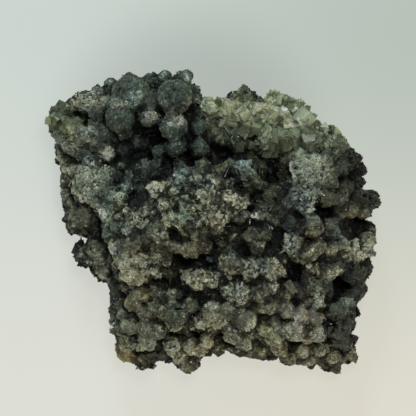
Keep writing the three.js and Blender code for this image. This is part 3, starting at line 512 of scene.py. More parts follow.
# Looks of each group of lumps: its colour with painted shade, laid in its hollows, and its colour with
# painted light, laid on its crests, both as screen colours from 0 to 255.
LOOKS = {
    "crown_balls": (CROWN_BALLS, (30, 39, 35), (87, 102, 86)),
    "upper_edge": (UPPER_EDGE, (71, 86, 70), (157, 173, 149)),
    "left_shoulder": (LEFT_SHOULDER, (12, 19, 16), (36, 48, 42)),
    "left_tip": (LEFT_TIP, (62, 68, 43), (120, 127, 92)),
    "left_edge": (LEFT_EDGE, (91, 102, 83), (200, 203, 168)),
    "saddle": (SADDLE, (45, 61, 53), (118, 131, 113)),
    "plateau_pale": (PLATEAU_PALE, (76, 96, 75), (168, 183, 151)),
    "plateau_grey": (PLATEAU_GREY, (12, 14, 12), (38, 44, 40)),
    "plateau_rim": (PLATEAU_RIM, (14, 18, 15), (44, 52, 46)),
    "pale_crystals": (PALE_CRYSTALS, (30, 40, 19), (62, 73, 48)),
    "green_blocks": (GREEN_BLOCKS, (20, 28, 14), (66, 73, 51)),
    "right_slab": (RIGHT_SLAB, (13, 21, 22), (49, 63, 60)),
    "right_shoulder": (RIGHT_SHOULDER, (10, 13, 8), (41, 41, 24)),
    "right_balls": (RIGHT_BALLS, (45, 52, 39), (117, 121, 103)),
    "green_domes": (GREEN_DOMES, (19, 28, 22), (61, 68, 55)),
    # The front balls, the lower edge and the lower left are set lighter, partly as painted light on slopes
    # that the lamps light less
    "front_balls": (FRONT_BALLS, (72, 79, 64), (171, 172, 142)),
    "brown_crust": (BROWN_CRUST, (82, 79, 66), (177, 172, 152)),
    "olive_slab": (OLIVE_SLAB, (200, 206, 132), (226, 232, 196)),
    "right_hollow": (RIGHT_HOLLOW, (16, 21, 19), (67, 72, 67)),
    "lower_edge": (LOWER_EDGE, (94, 93, 72), (214, 211, 170)),
    "lower_left": (LOWER_LEFT, (58, 65, 54), (138, 143, 120)),
    "amber_foot": (AMBER_FOOT, (174, 146, 88), (235, 216, 150)),
    "dark_skirt": (DARK_SKIRT, (60, 66, 54), (153, 159, 134)),
}
# The same for the ridges: colour with painted shade for the hollows, colour with painted light for the crests
RIDGE_LOOKS = {
    "cream_edges": (CREAM_EDGES, (125, 129, 100), (223, 223, 187)),
    "beige_lumps": (BEIGE_LUMPS, (80, 78, 58), (158, 154, 121)),
    "ball_fibres": (BALL_FIBRES_AND_GLINTS, (66, 74, 63), (159, 163, 146)),
    "pale_green": (PALE_GREEN, (99, 107, 87), (185, 191, 163)),
    "blue_white": (BLUE_WHITE, (73, 88, 83), (156, 175, 164)),
    "bright_crystals": (BRIGHT_CRYSTALS, (119, 133, 86), (194, 202, 163)),
    "green_crystals": (GREEN_CRYSTALS, (49, 57, 41), (113, 123, 100)),
    "tip_crystals": (TIP_CRYSTALS, (58, 66, 41), (113, 123, 87)),
    "dark_faces": (DARK_FACES, (34, 42, 30), (102, 107, 84)),
    "amber_lumps": (AMBER_LUMPS, (174, 146, 88), (235, 216, 150)),
    "olive_faces": (OLIVE_FACES, (91, 92, 60), (169, 166, 121)),
}
# The plain sides' colours, with painted shade and painted light, are set lighter as painted light where the
# lamps above light them less
SIDE_LOOK = ((54, 58, 48), (126, 126, 107))
GROUPS = list(LOOKS) + list(RIDGE_LOOKS) + ["sides"]

# Rock body. The dark, fine-grained host rock on which the crystals grew. It starts as a ball whose
# points are moved out to the outline, the top, the sides and the flat underside, as in the solid.
REACH_STEP_DEG = 6
ROCK_REACH = (
    47, 48.5, 46.5, 46.5, 48, 46.5, 45, 41.5, 42, 42.5, 40.5, 40.5, 39, 40, 35.5,
    36, 37.5, 44.5, 46, 47, 49.5, 51, 52.5, 55, 56, 55.5, 49, 46.5, 45, 44,
    43, 36.5, 39, 38.5, 36.5, 35.5, 36.5, 40.5, 42.5, 47.5, 48.5, 46.5, 43, 45, 42,
    38.5, 37, 39, 41.5, 44, 48.5, 52.5, 57.5, 56, 51.5, 49, 49, 48.5, 48, 48.5,
)
ROCK_FINENESS = 6
EDGE_SHARE = 0.56
FOOT_SHARE = 0.9
EDGE_OUT = 0.95
FOOT_OUT = 0.8
FOOT_HEIGHT = 5
BASE_SHOULDER = 2.6
SIDE_ROUGH = 1.3
SIDE_WAVES = ((17, 9), (5, -14))
TOP_SINK = 0.75
NEAR = 1.6
lumps = np.array([row for look in LOOKS.values() for row in look[0]], dtype=float)
lump_group = np.array([k for k, look in enumerate(LOOKS.values()) for _ in look[0]])
pits = np.array(PITS, dtype=float)


def rock_reach(angle):
    turns = len(ROCK_REACH)
    place = np.mod(np.degrees(angle) / REACH_STEP_DEG, turns)
    before = np.floor(place).astype(int) % turns
    share = place - np.floor(place)
    share = share * share * (3 - 2 * share)
    reaches = np.array(ROCK_REACH, dtype=float)
    return reaches[before] * (1 - share) + reaches[(before + 1) % turns] * share


def rock_top(x, y):
    apart = (x[:, None] - lumps[:, 0]) ** 2 + (y[:, None] - lumps[:, 1]) ** 2
    weight = 1 / (apart + NEAR ** 2) ** 2
    height = (weight * (lumps[:, 2] - TOP_SINK * lumps[:, 3])).sum(1) / weight.sum(1)
    pit_apart = (x[:, None] - pits[:, 0]) ** 2 + (y[:, None] - pits[:, 1]) ** 2
    return height - (pits[:, 3] * np.exp(-pit_apart / pits[:, 2] ** 2)).sum(1)


def rock_points(angle, share):
    reach = rock_reach(angle)
    east, north = np.cos(angle), np.sin(angle)
    top_out = EDGE_OUT * reach * np.sqrt(np.minimum(share / EDGE_SHARE, 1))
    top = rock_top(top_out * east, top_out * north)
    down = np.clip((share - EDGE_SHARE) / (FOOT_SHARE - EDGE_SHARE), 0, 1)
    belly = 1 - (1 - EDGE_OUT) * (1 - down) ** 4 - (1 - FOOT_OUT) * down ** 3
    (round_1, down_1), (round_2, down_2) = SIDE_WAVES
    wave = np.sin(round_1 * angle + down_1 * down) * np.cos(round_2 * angle + down_2 * down)
    side_out = reach * belly + SIDE_ROUGH * wave * np.sin(math.pi * down)
    side = top * (1 - down) + FOOT_HEIGHT * down
    inner = np.sqrt(np.clip((1 - share) / (1 - FOOT_SHARE), 0, 1))
    base = FOOT_HEIGHT * np.maximum(0, 1 - (1 - inner) * BASE_SHOULDER)
    zones = [share < EDGE_SHARE, share < FOOT_SHARE]
    out = np.select(zones, [top_out, side_out], FOOT_OUT * reach * inner)
    height = np.select(zones, [top, side], base)
    return np.stack([out * east, out * north, height], axis=1)


rock_bm = bmesh.new()
bmesh.ops.create_icosphere(rock_bm, subdivisions=ROCK_FINENESS, radius=1)
directions = np.array([vertex.co for vertex in rock_bm.verts])
rock_angles = np.arctan2(directions[:, 1], directions[:, 0])
rock_vertices = rock_points(rock_angles, np.clip((1 - directions[:, 2]) / 2, 0, 1))
rock_faces = np.array([[vertex.index for vertex in face.verts] for face in rock_bm.faces])
rock_bm.free()

# Lumps on the rock. Balls of prehnite are uneven balls and blocky crystals are broken blocks, each
# ringed by smaller buds. A belt of plain lumps goes round the sides that the camera doesn't see, and
# small knobs are strewn over the top and the sides.
SEED = 7
GOLDEN_ANGLE = math.pi * (3 - math.sqrt(5))
SIDE_LUMPS = 150
SIDE_TOP = 0.58
SIDE_BOTTOM = 0.95
SIDE_LUMP_SMALLEST = 2.2
SIDE_LUMP_SPREAD = 2
SIDE_LUMP_BEAT = 1.7
SIDE_LUMP_SINK = 0.75
BALL_FINENESS = 3
BALL_SIZES = (0.84, 0.98)
BLOCKS = 3
BLOCK_HALF = 0.72
BLOCK_ROUGH = 0.12
BLOCK_SIZES = (0.75, 1.1)
BLOCK_SHIFT = 0.18
BUDS = 7
BUD_POINTS = 11
BUD_SIZES = (0.16, 0.28)
BUD_STRETCH = (0.8, 1.3)
BUD_SEAT = 0.9
BUD_SINK = 0.6
ROUND_BUD = 0.65
KNOBS = 720
KNOB_KINDS = 6
KNOB_POINTS = 22
KNOB_SMALLEST = 1.0
KNOB_LARGEST = 2.1
KNOB_STRETCH = (0.8, 1.25)
KNOB_SHIFT = 0.55
KNOB_TOP = 0.001
KNOB_BELT = 0.78
TOP_KNOB = 0.6
PEBBLE_REACH = (0.85, 1.05)
rng = np.random.default_rng(SEED)


def ball_shape(fineness):
    bm = bmesh.new()
    bmesh.ops.create_icosphere(bm, subdivisions=fineness, radius=1)
    points = np.array([vertex.co for vertex in bm.verts])
    faces = np.array([[vertex.index for vertex in face.verts] for face in bm.faces])
    bm.free()
    return points, faces


CUBE = np.array([(x, y, z) for x in (-1, 1) for y in (-1, 1) for z in (-1, 1)], dtype=float)


def hull_shape(points):
    bm = bmesh.new()
    for point in points:
        bm.verts.new(point)
    made = bmesh.ops.convex_hull(bm, input=bm.verts)
    unused = dict.fromkeys(made["geom_interior"] + made["geom_unused"])
    spare = [item for item in unused if isinstance(item, bmesh.types.BMVert)]
    bmesh.ops.delete(bm, geom=spare, context="VERTS")
    bmesh.ops.recalc_face_normals(bm, faces=bm.faces)
    bm.verts.index_update()
    corners = np.array([vertex.co for vertex in bm.verts])
    faces = np.array([[vertex.index for vertex in face.verts] for face in bm.faces])
    bm.free()
    return corners, faces


def pebble_points(count):
    points = rng.normal(size=(count, 3))
    return points / np.linalg.norm(points, axis=1)[:, None] * rng.uniform(*PEBBLE_REACH, (count, 1))


def turns(count):
    four = rng.normal(size=(count, 4))
    four /= np.linalg.norm(four, axis=1)[:, None]
    w, x, y, z = four.T
    return np.stack([
        1 - 2 * (y * y + z * z), 2 * (x * y - z * w), 2 * (x * z + y * w),
        2 * (x * y + z * w), 1 - 2 * (x * x + z * z), 2 * (y * z - x * w),
        2 * (x * z - y * w), 2 * (y * z + x * w), 1 - 2 * (x * x + y * y),
    ], axis=1).reshape(count, 3, 3)


def placed(shape, centres, sizes, turned):
    points, faces = shape
    count = len(centres)
    moved = np.einsum("nij,nkj->nki", turned, points[None] * sizes[:, None, :]) + centres[:, None, :]
    joined = faces[None] + (np.arange(count) * len(points))[:, None, None]
    return moved.reshape(-1, 3), joined.reshape(-1, 3)


def joined_parts(parts):
    start = 0
    points, faces = [], []
    for part_points, part_faces in parts:
        points.append(part_points)
        faces.append(part_faces + start)
        start += len(part_points)
    return np.concatenate(points), np.concatenate(faces)


def mesh_from(name, points, faces):
    mesh = bpy.data.meshes.new(name)
    mesh.vertices.add(len(points))
    mesh.vertices.foreach_set("co", (points * MM).astype(np.float32).ravel())
    mesh.loops.add(faces.size)
    mesh.loops.foreach_set("vertex_index", faces.astype(np.int32).ravel())
    mesh.polygons.add(len(faces))
    mesh.polygons.foreach_set("loop_start", np.arange(0, faces.size, 3, dtype=np.int32))
    mesh.update(calc_edges=True)
    mesh.validate()
    mesh.shade_flat()
    return mesh


side_index = np.arange(SIDE_LUMPS)
side_share = SIDE_TOP + (SIDE_BOTTOM - SIDE_TOP) * side_index / SIDE_LUMPS
side_radius = SIDE_LUMP_SMALLEST + SIDE_LUMP_SPREAD * np.abs(np.sin(side_index * SIDE_LUMP_BEAT))
side_centres = rock_points(side_index * GOLDEN_ANGLE, side_share)
inward = 1 - SIDE_LUMP_SINK * side_radius / np.hypot(side_centres[:, 0], side_centres[:, 1])
side_centres[:, :2] *= inward[:, None]

# Gaps in the outline that side lumps and knobs keep clear of: x, y and radius
NOTCHES = (
    (-40.6, -5.2, 5), (-38, -14.8, 3.6), (20, 40, 7), (29, 35.5, 5), (35, 29.5, 4),
)


def clear_of_notches(centres):
    clear = np.ones(len(centres), dtype=bool)
    for x, y, radius in NOTCHES:
        clear &= np.hypot(centres[:, 0] - x, centres[:, 1] - y) > radius
    return clear


side_clear = clear_of_notches(side_centres)
side_centres, side_radius = side_centres[side_clear], side_radius[side_clear]

# How much of a lump's radius counts where the top of the cluster is looked up
COUNTED_RADIUS = 0.88


def cluster_top(x, y):
    apart = (x[:, None] - lumps[:, 0]) ** 2 + (y[:, None] - lumps[:, 1]) ** 2
    over = (COUNTED_RADIUS * lumps[:, 3]) ** 2 - apart
    lump_top = np.where(over > 0, lumps[:, 2] + np.sqrt(np.maximum(over, 0)), 0)
    return np.maximum(rock_top(x, y), lump_top.max(1))


BLOCKY = (
    "cream_edges", "pale_green", "blue_white", "bright_crystals", "green_crystals", "left_tip",
    "saddle", "plateau_pale", "plateau_grey", "plateau_rim", "pale_crystals", "green_blocks",
    "right_hollow", "dark_skirt",
)
blocky = np.array([GROUPS[k] in BLOCKY for k in lump_group])
side_rows = np.column_stack([side_centres, side_radius])
round_lumps = np.concatenate([lumps[~blocky], side_rows])
parts = [(rock_vertices, rock_faces)]
sizes = round_lumps[:, 3:4] * rng.uniform(*BALL_SIZES, (len(round_lumps), 3))
parts.append(placed(ball_shape(BALL_FINENESS), round_lumps[:, :3], sizes, turns(len(round_lumps))))

block_lumps = lumps[blocky]
for _ in range(BLOCKS):
    block = hull_shape(CUBE * BLOCK_HALF + rng.normal(scale=BLOCK_ROUGH, size=CUBE.shape))
    sizes = block_lumps[:, 3:4] * rng.uniform(*BLOCK_SIZES, (len(block_lumps), 3))
    shifts = rng.normal(scale=BLOCK_SHIFT, size=(len(block_lumps), 3)) * block_lumps[:, 3:4]
    parts.append(placed(block, block_lumps[:, :3] + shifts, sizes, turns(len(block_lumps))))

all_lumps = np.concatenate([lumps, side_rows])
bud_share = np.concatenate([np.where(blocky, 1, ROUND_BUD), np.ones(len(side_rows))])[:, None]
for _ in range(BUDS):
    away = rng.normal(size=(len(all_lumps), 3))
    away /= np.linalg.norm(away, axis=1)[:, None]
    bud_radius = bud_share * all_lumps[:, 3:4] * rng.uniform(*BUD_SIZES, (len(all_lumps), 1))
    centres = all_lumps[:, :3] + away * (all_lumps[:, 3:4] * BUD_SEAT - bud_radius * BUD_SINK)
    bud = hull_shape(pebble_points(BUD_POINTS))
    sizes = bud_radius * rng.uniform(*BUD_STRETCH, (len(all_lumps), 3))
    parts.append(placed(bud, centres, sizes, turns(len(all_lumps))))

knob_share = KNOB_TOP + KNOB_BELT * (np.arange(KNOBS) + 0.5) / KNOBS
knob_radius = rng.uniform(KNOB_SMALLEST, KNOB_LARGEST, KNOBS)
knob_radius *= np.where(knob_share < EDGE_SHARE, TOP_KNOB, 1)
knob_centres = rock_points(np.arange(KNOBS) * GOLDEN_ANGLE, knob_share)
knob_centres += rng.normal(scale=KNOB_SHIFT, size=(KNOBS, 3))
knob_clear = clear_of_notches(knob_centres)
for kind in range(KNOB_KINDS):
    chosen = np.arange(kind, KNOBS, KNOB_KINDS)
    chosen = chosen[knob_clear[chosen]]
    knob = hull_shape(pebble_points(KNOB_POINTS))
    sizes = knob_radius[chosen, None] * rng.uniform(*KNOB_STRETCH, (len(chosen), 3))
    parts.append(placed(knob, knob_centres[chosen], sizes, turns(len(chosen))))

# Ridges from the tables above: a pebble, or for clear crystals a turned block, drawn out from one end
# to the other. Each also lends its looks to the skin at three places along it.
BLOCK_RIDGES = ("bright_crystals", "green_crystals", "tip_crystals")
RIDGE_SINK = 0.35
RIDGE_POINTS = 9
RIDGE_TAPER = 0.9
RIDGE_LOOK_REACH = 1.3
RIDGE_LOOK_LEAST = 0.8
tone_places = [lumps]
tone_group = [lump_group]
for name, (rows, _, _) in RIDGE_LOOKS.items():
    table = np.array(rows, dtype=float)
    thick = table[:, 4:5]
    ends = []
    for x, y in (table[:, 0:2].T, table[:, 2:4].T):
        height = cluster_top(x, y) + table[:, 5] - RIDGE_SINK * table[:, 4]
        ends.append(np.column_stack([x, y, height]))
    for k, (start, end) in enumerate(zip(*ends)):
        if name in BLOCK_RIDGES:
            corner = CUBE @ turns(1)[0] * BLOCK_HALF
            cloud = [start + corner * thick[k], end + corner * thick[k] * RIDGE_TAPER]
        else:
            cloud = [place + pebble_points(RIDGE_POINTS) * thick[k] for place in (start, end)]
        parts.append(hull_shape(np.concatenate(cloud)))
    for share in (0, 0.5, 1):
        places = ends[0] * (1 - share) + ends[1] * share
        reach = np.maximum(thick * RIDGE_LOOK_REACH, RIDGE_LOOK_LEAST)
        tone_places.append(np.column_stack([places, reach]))
        tone_group.append(np.full(len(table), GROUPS.index(name)))
tone_places = np.concatenate(tone_places)
tone_group = np.concatenate(tone_group)
skin_points, skin_faces = joined_parts(parts)


def linear(colour):
    share = np.asarray(colour, dtype=float) / 255
    return np.where(share <= 0.04045, share / 12.92, ((share + 0.055) / 1.055) ** 2.4)


# Which lump group a place belongs to: nearby lumps count by how near they are for their size.
looks = list(LOOKS.values()) + list(RIDGE_LOOKS.values())
# Colours with painted shade for the hollows, and colours with painted light for the crests
shaded_hollow_colours = linear([look[1] for look in looks] + [SIDE_LOOK[0]])
lit_crest_colours = linear([look[2] for look in looks] + [SIDE_LOOK[1]])
SIDE_WEIGHT = 0.004
RIDGE_WEIGHT = 5
NEARNESS = 0.7
LEAST_WEIGHT = 1e-9
CHUNK = 20000
tone_strength = np.where(tone_group < len(LOOKS), 1.0, RIDGE_WEIGHT)


def in_chunks(work, points):
    return np.concatenate([work(points[k:k + CHUNK]) for k in range(0, len(points), CHUNK)])


def squares_apart(points, spots):
    return (points ** 2).sum(1)[:, None] + (spots ** 2).sum(1) - 2 * points @ spots.T


def group_weights(points):
    member = (tone_group[:, None] == np.arange(len(GROUPS))) * tone_strength[:, None]

    def near_shares(part):
        square = squares_apart(part, tone_places[:, :3])
        weight = np.exp(-NEARNESS * square / tone_places[:, 3] ** 2) + LEAST_WEIGHT
        return weight @ member

    shares = in_chunks(near_shares, points)
    shares[:, -1] = SIDE_WEIGHT
    return shares / shares.sum(1)[:, None]


# Skin of the cluster. Rock and lumps are grown together into one closed surface, which is then
# roughened, most of all on the blocky crystals, and dented by the dark hollows between the lumps.
VOXEL = 0.66
SKIN_KEPT = 0.88
UNDERSIDE = 2.5
SWELL = 0.15
ROUGH_CELL = 3.2
ROUGH_HEIGHT = 0.8
ROUGH_FALL = 0.8
ROUGH_STEP = 2.1
ROUGH_LEVELS = 3
ROUND_CALM = 0.6
HOLLOW_REACH = 9
HOLLOW_DEPTH = 0.7
HOLLOW_STRETCH = 1.4
HOLLOW_WIDTH = 1.1
WARP_CELL = 1.8
WARP_SHIFT = 50
raw = bpy.data.objects.new("raw_rock", mesh_from("raw_rock", skin_points, skin_faces))
bpy.context.scene.collection.objects.link(raw)
remesh = raw.modifiers.new("grow", "REMESH")
remesh.mode = "VOXEL"
remesh.voxel_size = VOXEL * MM
skin_mesh = bpy.data.meshes.new_from_object(raw.evaluated_get(bpy.context.evaluated_depsgraph_get()))
bpy.data.objects.remove(raw)


def vertex_array(mesh):
    flat = np.empty(len(mesh.vertices) * 3, dtype=np.float32)
    mesh.vertices.foreach_get("co", flat)
    return flat.reshape(-1, 3).astype(float) / MM


def normal_array(mesh):
    flat = np.empty(len(mesh.vertices) * 3, dtype=np.float32)
    mesh.vertices.foreach_get("normal", flat)
    return flat.reshape(-1, 3).astype(float)


def patches(points, cell, shift):
    return np.array([noise.noise(Vector(point) / cell + Vector((shift, 0, 0))) for point in points])


# The flat underside is thinned, as it needs few points.
full = bpy.data.objects.new("full_rock", skin_mesh)
bpy.context.scene.collection.objects.link(full)
underside = full.vertex_groups.new(name="underside")
underside.add(np.flatnonzero(vertex_array(skin_mesh)[:, 2] < UNDERSIDE).tolist(), 1, "REPLACE")
thinner = full.modifiers.new("thin_underside", "DECIMATE")
thinner.ratio = SKIN_KEPT
thinner.vertex_group = "underside"
skin_mesh = bpy.data.meshes.new_from_object(full.evaluated_get(bpy.context.evaluated_depsgraph_get()))
bpy.data.objects.remove(full)
skin = vertex_array(skin_mesh)
skin_normals = normal_array(skin_mesh)
skin_groups = group_weights(skin)
round_share = skin_groups[:, [k for k, name in enumerate(GROUPS) if name not in BLOCKY]].sum(1)
swell = np.array([
    noise.fractal(Vector(point) / ROUGH_CELL, ROUGH_FALL, ROUGH_STEP, ROUGH_LEVELS) for point in skin
])
swell = SWELL + ROUGH_HEIGHT * swell * (1 - ROUND_CALM * round_share)
skin += skin_normals * swell[:, None]
warp_x = patches(skin, WARP_CELL, 0)
warp_y = patches(skin, WARP_CELL, WARP_SHIFT)
below_top = np.clip(1 - (cluster_top(skin[:, 0], skin[:, 1]) - skin[:, 2]) / HOLLOW_REACH, 0, 1)
for k, (x, y, radius, depth) in enumerate(HOLLOWS):
    away_x = skin[:, 0] - x + warp_x
    away_y = skin[:, 1] - y + warp_y
    east, north = math.cos(k * GOLDEN_ANGLE), math.sin(k * GOLDEN_ANGLE)
    along = (away_x * east + away_y * north) / HOLLOW_STRETCH
    across = (away_y * east - away_x * north) * HOLLOW_STRETCH
    apart = (along ** 2 + across ** 2) / (HOLLOW_WIDTH * radius) ** 2
    skin[:, 2] -= HOLLOW_DEPTH * depth * np.exp(-apart ** 1.5) * below_top


# Fibres. Each lump is a sheaf of fine needles that spread from its pole, so its surface is lined
# along its meridians. A point's place is given round and down its own lump.
FIBRE_WIDTH = 0.25
DOWN_FIBRE = 2.0
FIBRE_LEAN = 0.5
FIBRE_SHIFT = 17
fibre_turn = turns(len(all_lumps))
fibre_turn[:, 2] = fibre_turn[:, 2] * FIBRE_LEAN + (0, 0, 1)
fibre_turn[:, 2] /= np.linalg.norm(fibre_turn[:, 2], axis=1)[:, None]
fibre_turn[:, 1] = np.cross(fibre_turn[:, 2], fibre_turn[:, 0])
fibre_turn[:, 1] /= np.linalg.norm(fibre_turn[:, 1], axis=1)[:, None]
fibre_turn[:, 0] = np.cross(fibre_turn[:, 1], fibre_turn[:, 2])


def fibre_place(points, width):
    spots = all_lumps[:, :3]

    def nearest_lump(part):
        return (squares_apart(part, spots) / all_lumps[:, 3] ** 2).argmin(1)

    owner = in_chunks(nearest_lump, points)
    away = np.einsum("nij,nj->ni", fibre_turn[owner], points - spots[owner])
    flat = np.hypot(away[:, 0], away[:, 1])
    ring = (all_lumps[owner, 3] / width)[:, None] * away[:, :2] / np.maximum(flat, 1e-6)[:, None]
    return ring, DOWN_FIBRE * np.arctan2(flat, away[:, 2]) + FIBRE_SHIFT * owner


# Crystal faces. The skin is divided among seed points, and each part is drawn flat, on a plane of
# its own that leans a little, with a seam along its edge.
def nearest_seeds(points, seeds):
    tree = kdtree.KDTree(len(seeds))
    for k, seed in enumerate(seeds):
        tree.insert(seed, k)
    tree.balance()
    found = [tree.find_n(point, 2) for point in points]
    owner = np.array([first[1] for first, second in found])
    margin = np.array([second[2] - first[2] for first, second in found])
    return owner, margin


def means(owner, values, count):
    total = np.stack([np.bincount(owner, values[:, k], count) for k in range(3)], axis=1)
    return total / np.maximum(np.bincount(owner, minlength=count), 1)[:, None]


def faceted(points, normals, area, lean, strength, seam_width, seam_depth):
    count = int(len(points) * VOXEL ** 2 / area)
    owner, margin = nearest_seeds(points, points[rng.choice(len(points), count, replace=False)])
    seam = np.exp(-(margin / seam_width) ** 2)
    middle = means(owner, points, count)
    facing = means(owner, normals, count) + rng.normal(scale=lean, size=(count, 3))
    facing /= np.maximum(np.linalg.norm(facing, axis=1), 1e-6)[:, None]
    away = ((points - middle[owner]) * facing[owner]).sum(1) * strength
    return points - facing[owner] * (away + seam_depth * seam)[:, None], owner, seam


GROOVE_WIDTH = 0.7
GROOVE_DEPTH = 0.45

# Faces of three sizes, the largest first: area in square millimetres, lean, how flat and how much
# less so on round lumps, and for the seams their width, depth and how much less deep on round lumps
FACE_SIZES = (
    (13, 0.2, 0.8, 0.8, 0.7, 0.7, 0.85),
    (5, 0.25, 0.8, 0.5, 0.5, 0.3, 0.6),
    (1.5, 0.3, 0.5, 0, 0.3, 0, 0),
)
ring, down = fibre_place(skin, GROOVE_WIDTH)
groove = np.array([noise.noise(Vector((x, y, z))) for (x, y), z in zip(ring, down)])
skin += skin_normals * (GROOVE_DEPTH * round_share * groove)[:, None]
face_owners, seams = [], []
for area, lean, flatness, round_flatness, seam_width, seam_depth, round_seam in FACE_SIZES:
    strength = flatness * (1 - round_flatness * round_share)
    depth = seam_depth * (1 - round_seam * round_share)
    skin, owner, seam = faceted(skin, skin_normals, area, lean, strength, seam_width, depth)
    face_owners.append(owner)
    seams.append(seam)
skin[:, 2] = np.maximum(skin[:, 2], 0)
skin_mesh.vertices.foreach_set("co", (skin * MM).astype(np.float32).ravel())
skin_mesh.update()

# Edges. How far each point stands out from its neighbours: edges that stand out are painted lighter as
# painted highlights, and creases that lie in are painted darker as painted shade.
EDGE_PAINTED_LIGHT = 0.55
EDGE_BULGE = 0.1
EDGE_MOST = 1.2
BULGE_OWN = 0.6
edge_ends = np.empty(len(skin_mesh.edges) * 2, dtype=np.int32)
skin_mesh.edges.foreach_get("vertices", edge_ends)
edge_from, edge_to = edge_ends.reshape(-1, 2).T
edge_count = np.bincount(edge_ends, minlength=len(skin))


def neighbour_mean(values):
    total = np.bincount(edge_from, values[edge_to], len(skin))
    total += np.bincount(edge_to, values[edge_from], len(skin))
    return total / np.maximum(edge_count, 1)


around = np.stack([neighbour_mean(skin[:, k]) for k in range(3)], axis=1)
bulge = ((skin - around) * normal_array(skin_mesh)).sum(1)
bulge = BULGE_OWN * bulge + (1 - BULGE_OWN) * neighbour_mean(bulge)
painted_edge_light = np.exp(EDGE_PAINTED_LIGHT * np.clip(bulge / EDGE_BULGE, -EDGE_MOST, EDGE_MOST))

# Heights round about, on a fine grid seen from above: a place that stands out from its
# surroundings is a crest, and one that lies below them is a hollow.
CELL = 0.5
GRID = 240
HALF = GRID * CELL / 2
LEVEL_BLUR = 2
LEAST_COVER = 0.05


def grid_cells(points):
    cells = np.clip(((points[:, :2] + HALF) / CELL).astype(int), 0, GRID - 1)
    return cells[:, 1], cells[:, 0]


height_grid = np.zeros((GRID, GRID))
np.maximum.at(height_grid, grid_cells(skin), skin[:, 2])


def blurred(grid, sigma):
    reach = int(3 * sigma)
    steps = np.arange(-reach, reach + 1)
    kernel = np.exp(-steps ** 2 / (2 * sigma ** 2))
    kernel /= kernel.sum()
    padded = np.pad(grid, reach, mode="edge")
    across = sum(weight * padded[:, k:k + grid.shape[1]] for k, weight in enumerate(kernel))
    return sum(weight * across[k:k + grid.shape[0]] for k, weight in enumerate(kernel))


covered = blurred((height_grid > 0).astype(float), LEVEL_BLUR)
level_grid = blurred(height_grid, LEVEL_BLUR) / np.maximum(covered, LEAST_COVER)

# How much of the sky each grid cell sees over the lumps around it, which sets the painted shade in the
# hollows
SKY_DIRECTIONS = 16
SKY_REACHES = (1, 2, 3, 4, 6, 8, 11, 15, 20)
openness = np.zeros((GRID, GRID))
for direction in range(SKY_DIRECTIONS):
    turn = 2 * math.pi * direction / SKY_DIRECTIONS
    east, north = math.cos(turn), math.sin(turn)
    steepest = np.zeros((GRID, GRID))
    for reach in SKY_REACHES:
        shifted = np.roll(height_grid, (-round(reach * north), -round(reach * east)), axis=(0, 1))
        steepest = np.maximum(steepest, (shifted - height_grid) / (reach * CELL))
    openness += (1 - steepest / np.sqrt(1 + steepest ** 2)) / SKY_DIRECTIONS

# How much painted light a place gets, from painted shade in the hollow to painted light on the crest: by the
# open sky, by the height over the level round about, and by how deep a place lies under the surface
SKY_SHARE = 1.35
SKY_MIDDLE = 0.42
LEVEL_SHARE = 0.22
CREST_LIFT = 0.1
BURIED_START = 1
BURIED_DEPTH = 6
BURIED_MOST = 0.6


def crest_share(points):
    cells = grid_cells(points)
    above_level = points[:, 2] - level_grid[cells]
    buried = np.clip((height_grid[cells] - points[:, 2] - BURIED_START) / BURIED_DEPTH, 0, BURIED_MOST)
    sky = SKY_SHARE * (openness[cells] - SKY_MIDDLE)
    return np.clip(sky + LEVEL_SHARE * above_level - buried + CREST_LIFT, 0, 1)


# Least painted light of some groups, so that their hollows are painted less dark: clear crystals keep painted
# light in their hollows, the plain sides are painted evenly lit, and the knobs along the lower edge and lower
# left are painted lighter where the lamps light them less.
LEAST_CREST = {
    "amber_foot": 0.65, "amber_lumps": 0.65, "sides": 0.4, "left_tip": 0.35, "upper_edge": 0.3,
    "bright_crystals": 0.5, "pale_crystals": 0.5, "tip_crystals": 0.5, "plateau_pale": 0.2, "left_edge": 0.25,
    "lower_left": 0.4, "lower_edge": 0.45, "brown_crust": 0.2, "front_balls": 0.12,
}
least_crest = np.array([LEAST_CREST.get(name, 0) for name in GROUPS])

# Tones, with painted light and shade. A group's colour with painted shade for its hollows and its colour with
# painted light for its crests are mixed by the crest share, which wanders in patches. Warmer and cooler
# patches, painted shade that darkens the hollows further, and fine mottling lie over them.
CREST_PATCH = 0.5
CREST_PATCH_CELL = 2.4
WARMTH = (0.14, 0.02, -0.16)
WARMTH_CELL = 5
WARMTH_SHIFT = 40
MOTTLING = 0.5
MOTTLING_CELL = 0.9
MOTTLING_SHIFT = 80
HOLLOW_LIGHT = 0.19
CREST_LIGHT = 1.45
CREST_POWER = 1.3
MOST_LIGHT = 1.1


def painted_light_tones(points, crest, shares):
    crest = np.maximum(crest, shares @ least_crest)
    crest = np.clip(crest + CREST_PATCH * patches(points, CREST_PATCH_CELL, 0), 0, 1)[:, None]
    colour = (shares @ shaded_hollow_colours) * (1 - crest) + (shares @ lit_crest_colours) * crest
    colour = colour * (1 + patches(points, WARMTH_CELL, WARMTH_SHIFT)[:, None] * WARMTH)
    # Painted light: darker in the hollows, lighter on the crests
    light = np.clip(HOLLOW_LIGHT + CREST_LIGHT * crest ** CREST_POWER, 0, MOST_LIGHT)
    return colour * light * np.exp(MOTTLING * patches(points, MOTTLING_CELL, MOTTLING_SHIFT))[:, None]


def paint(mesh, colours):
    layer = mesh.color_attributes.new("tone", "FLOAT_COLOR", "POINT")
    full = np.ones((len(colours), 4), dtype=np.float32)
    full[:, :3] = np.clip(colours, 0, 1)
    layer.data.foreach_set("color", full.ravel())


def lay_fibres(mesh, points):
    ring, down = fibre_place(points, FIBRE_WIDTH)
    layer = mesh.attributes.new("fibre", "FLOAT_VECTOR", "POINT")
    layer.data.foreach_set("vector", np.column_stack([ring, down]).astype(np.float32).ravel())


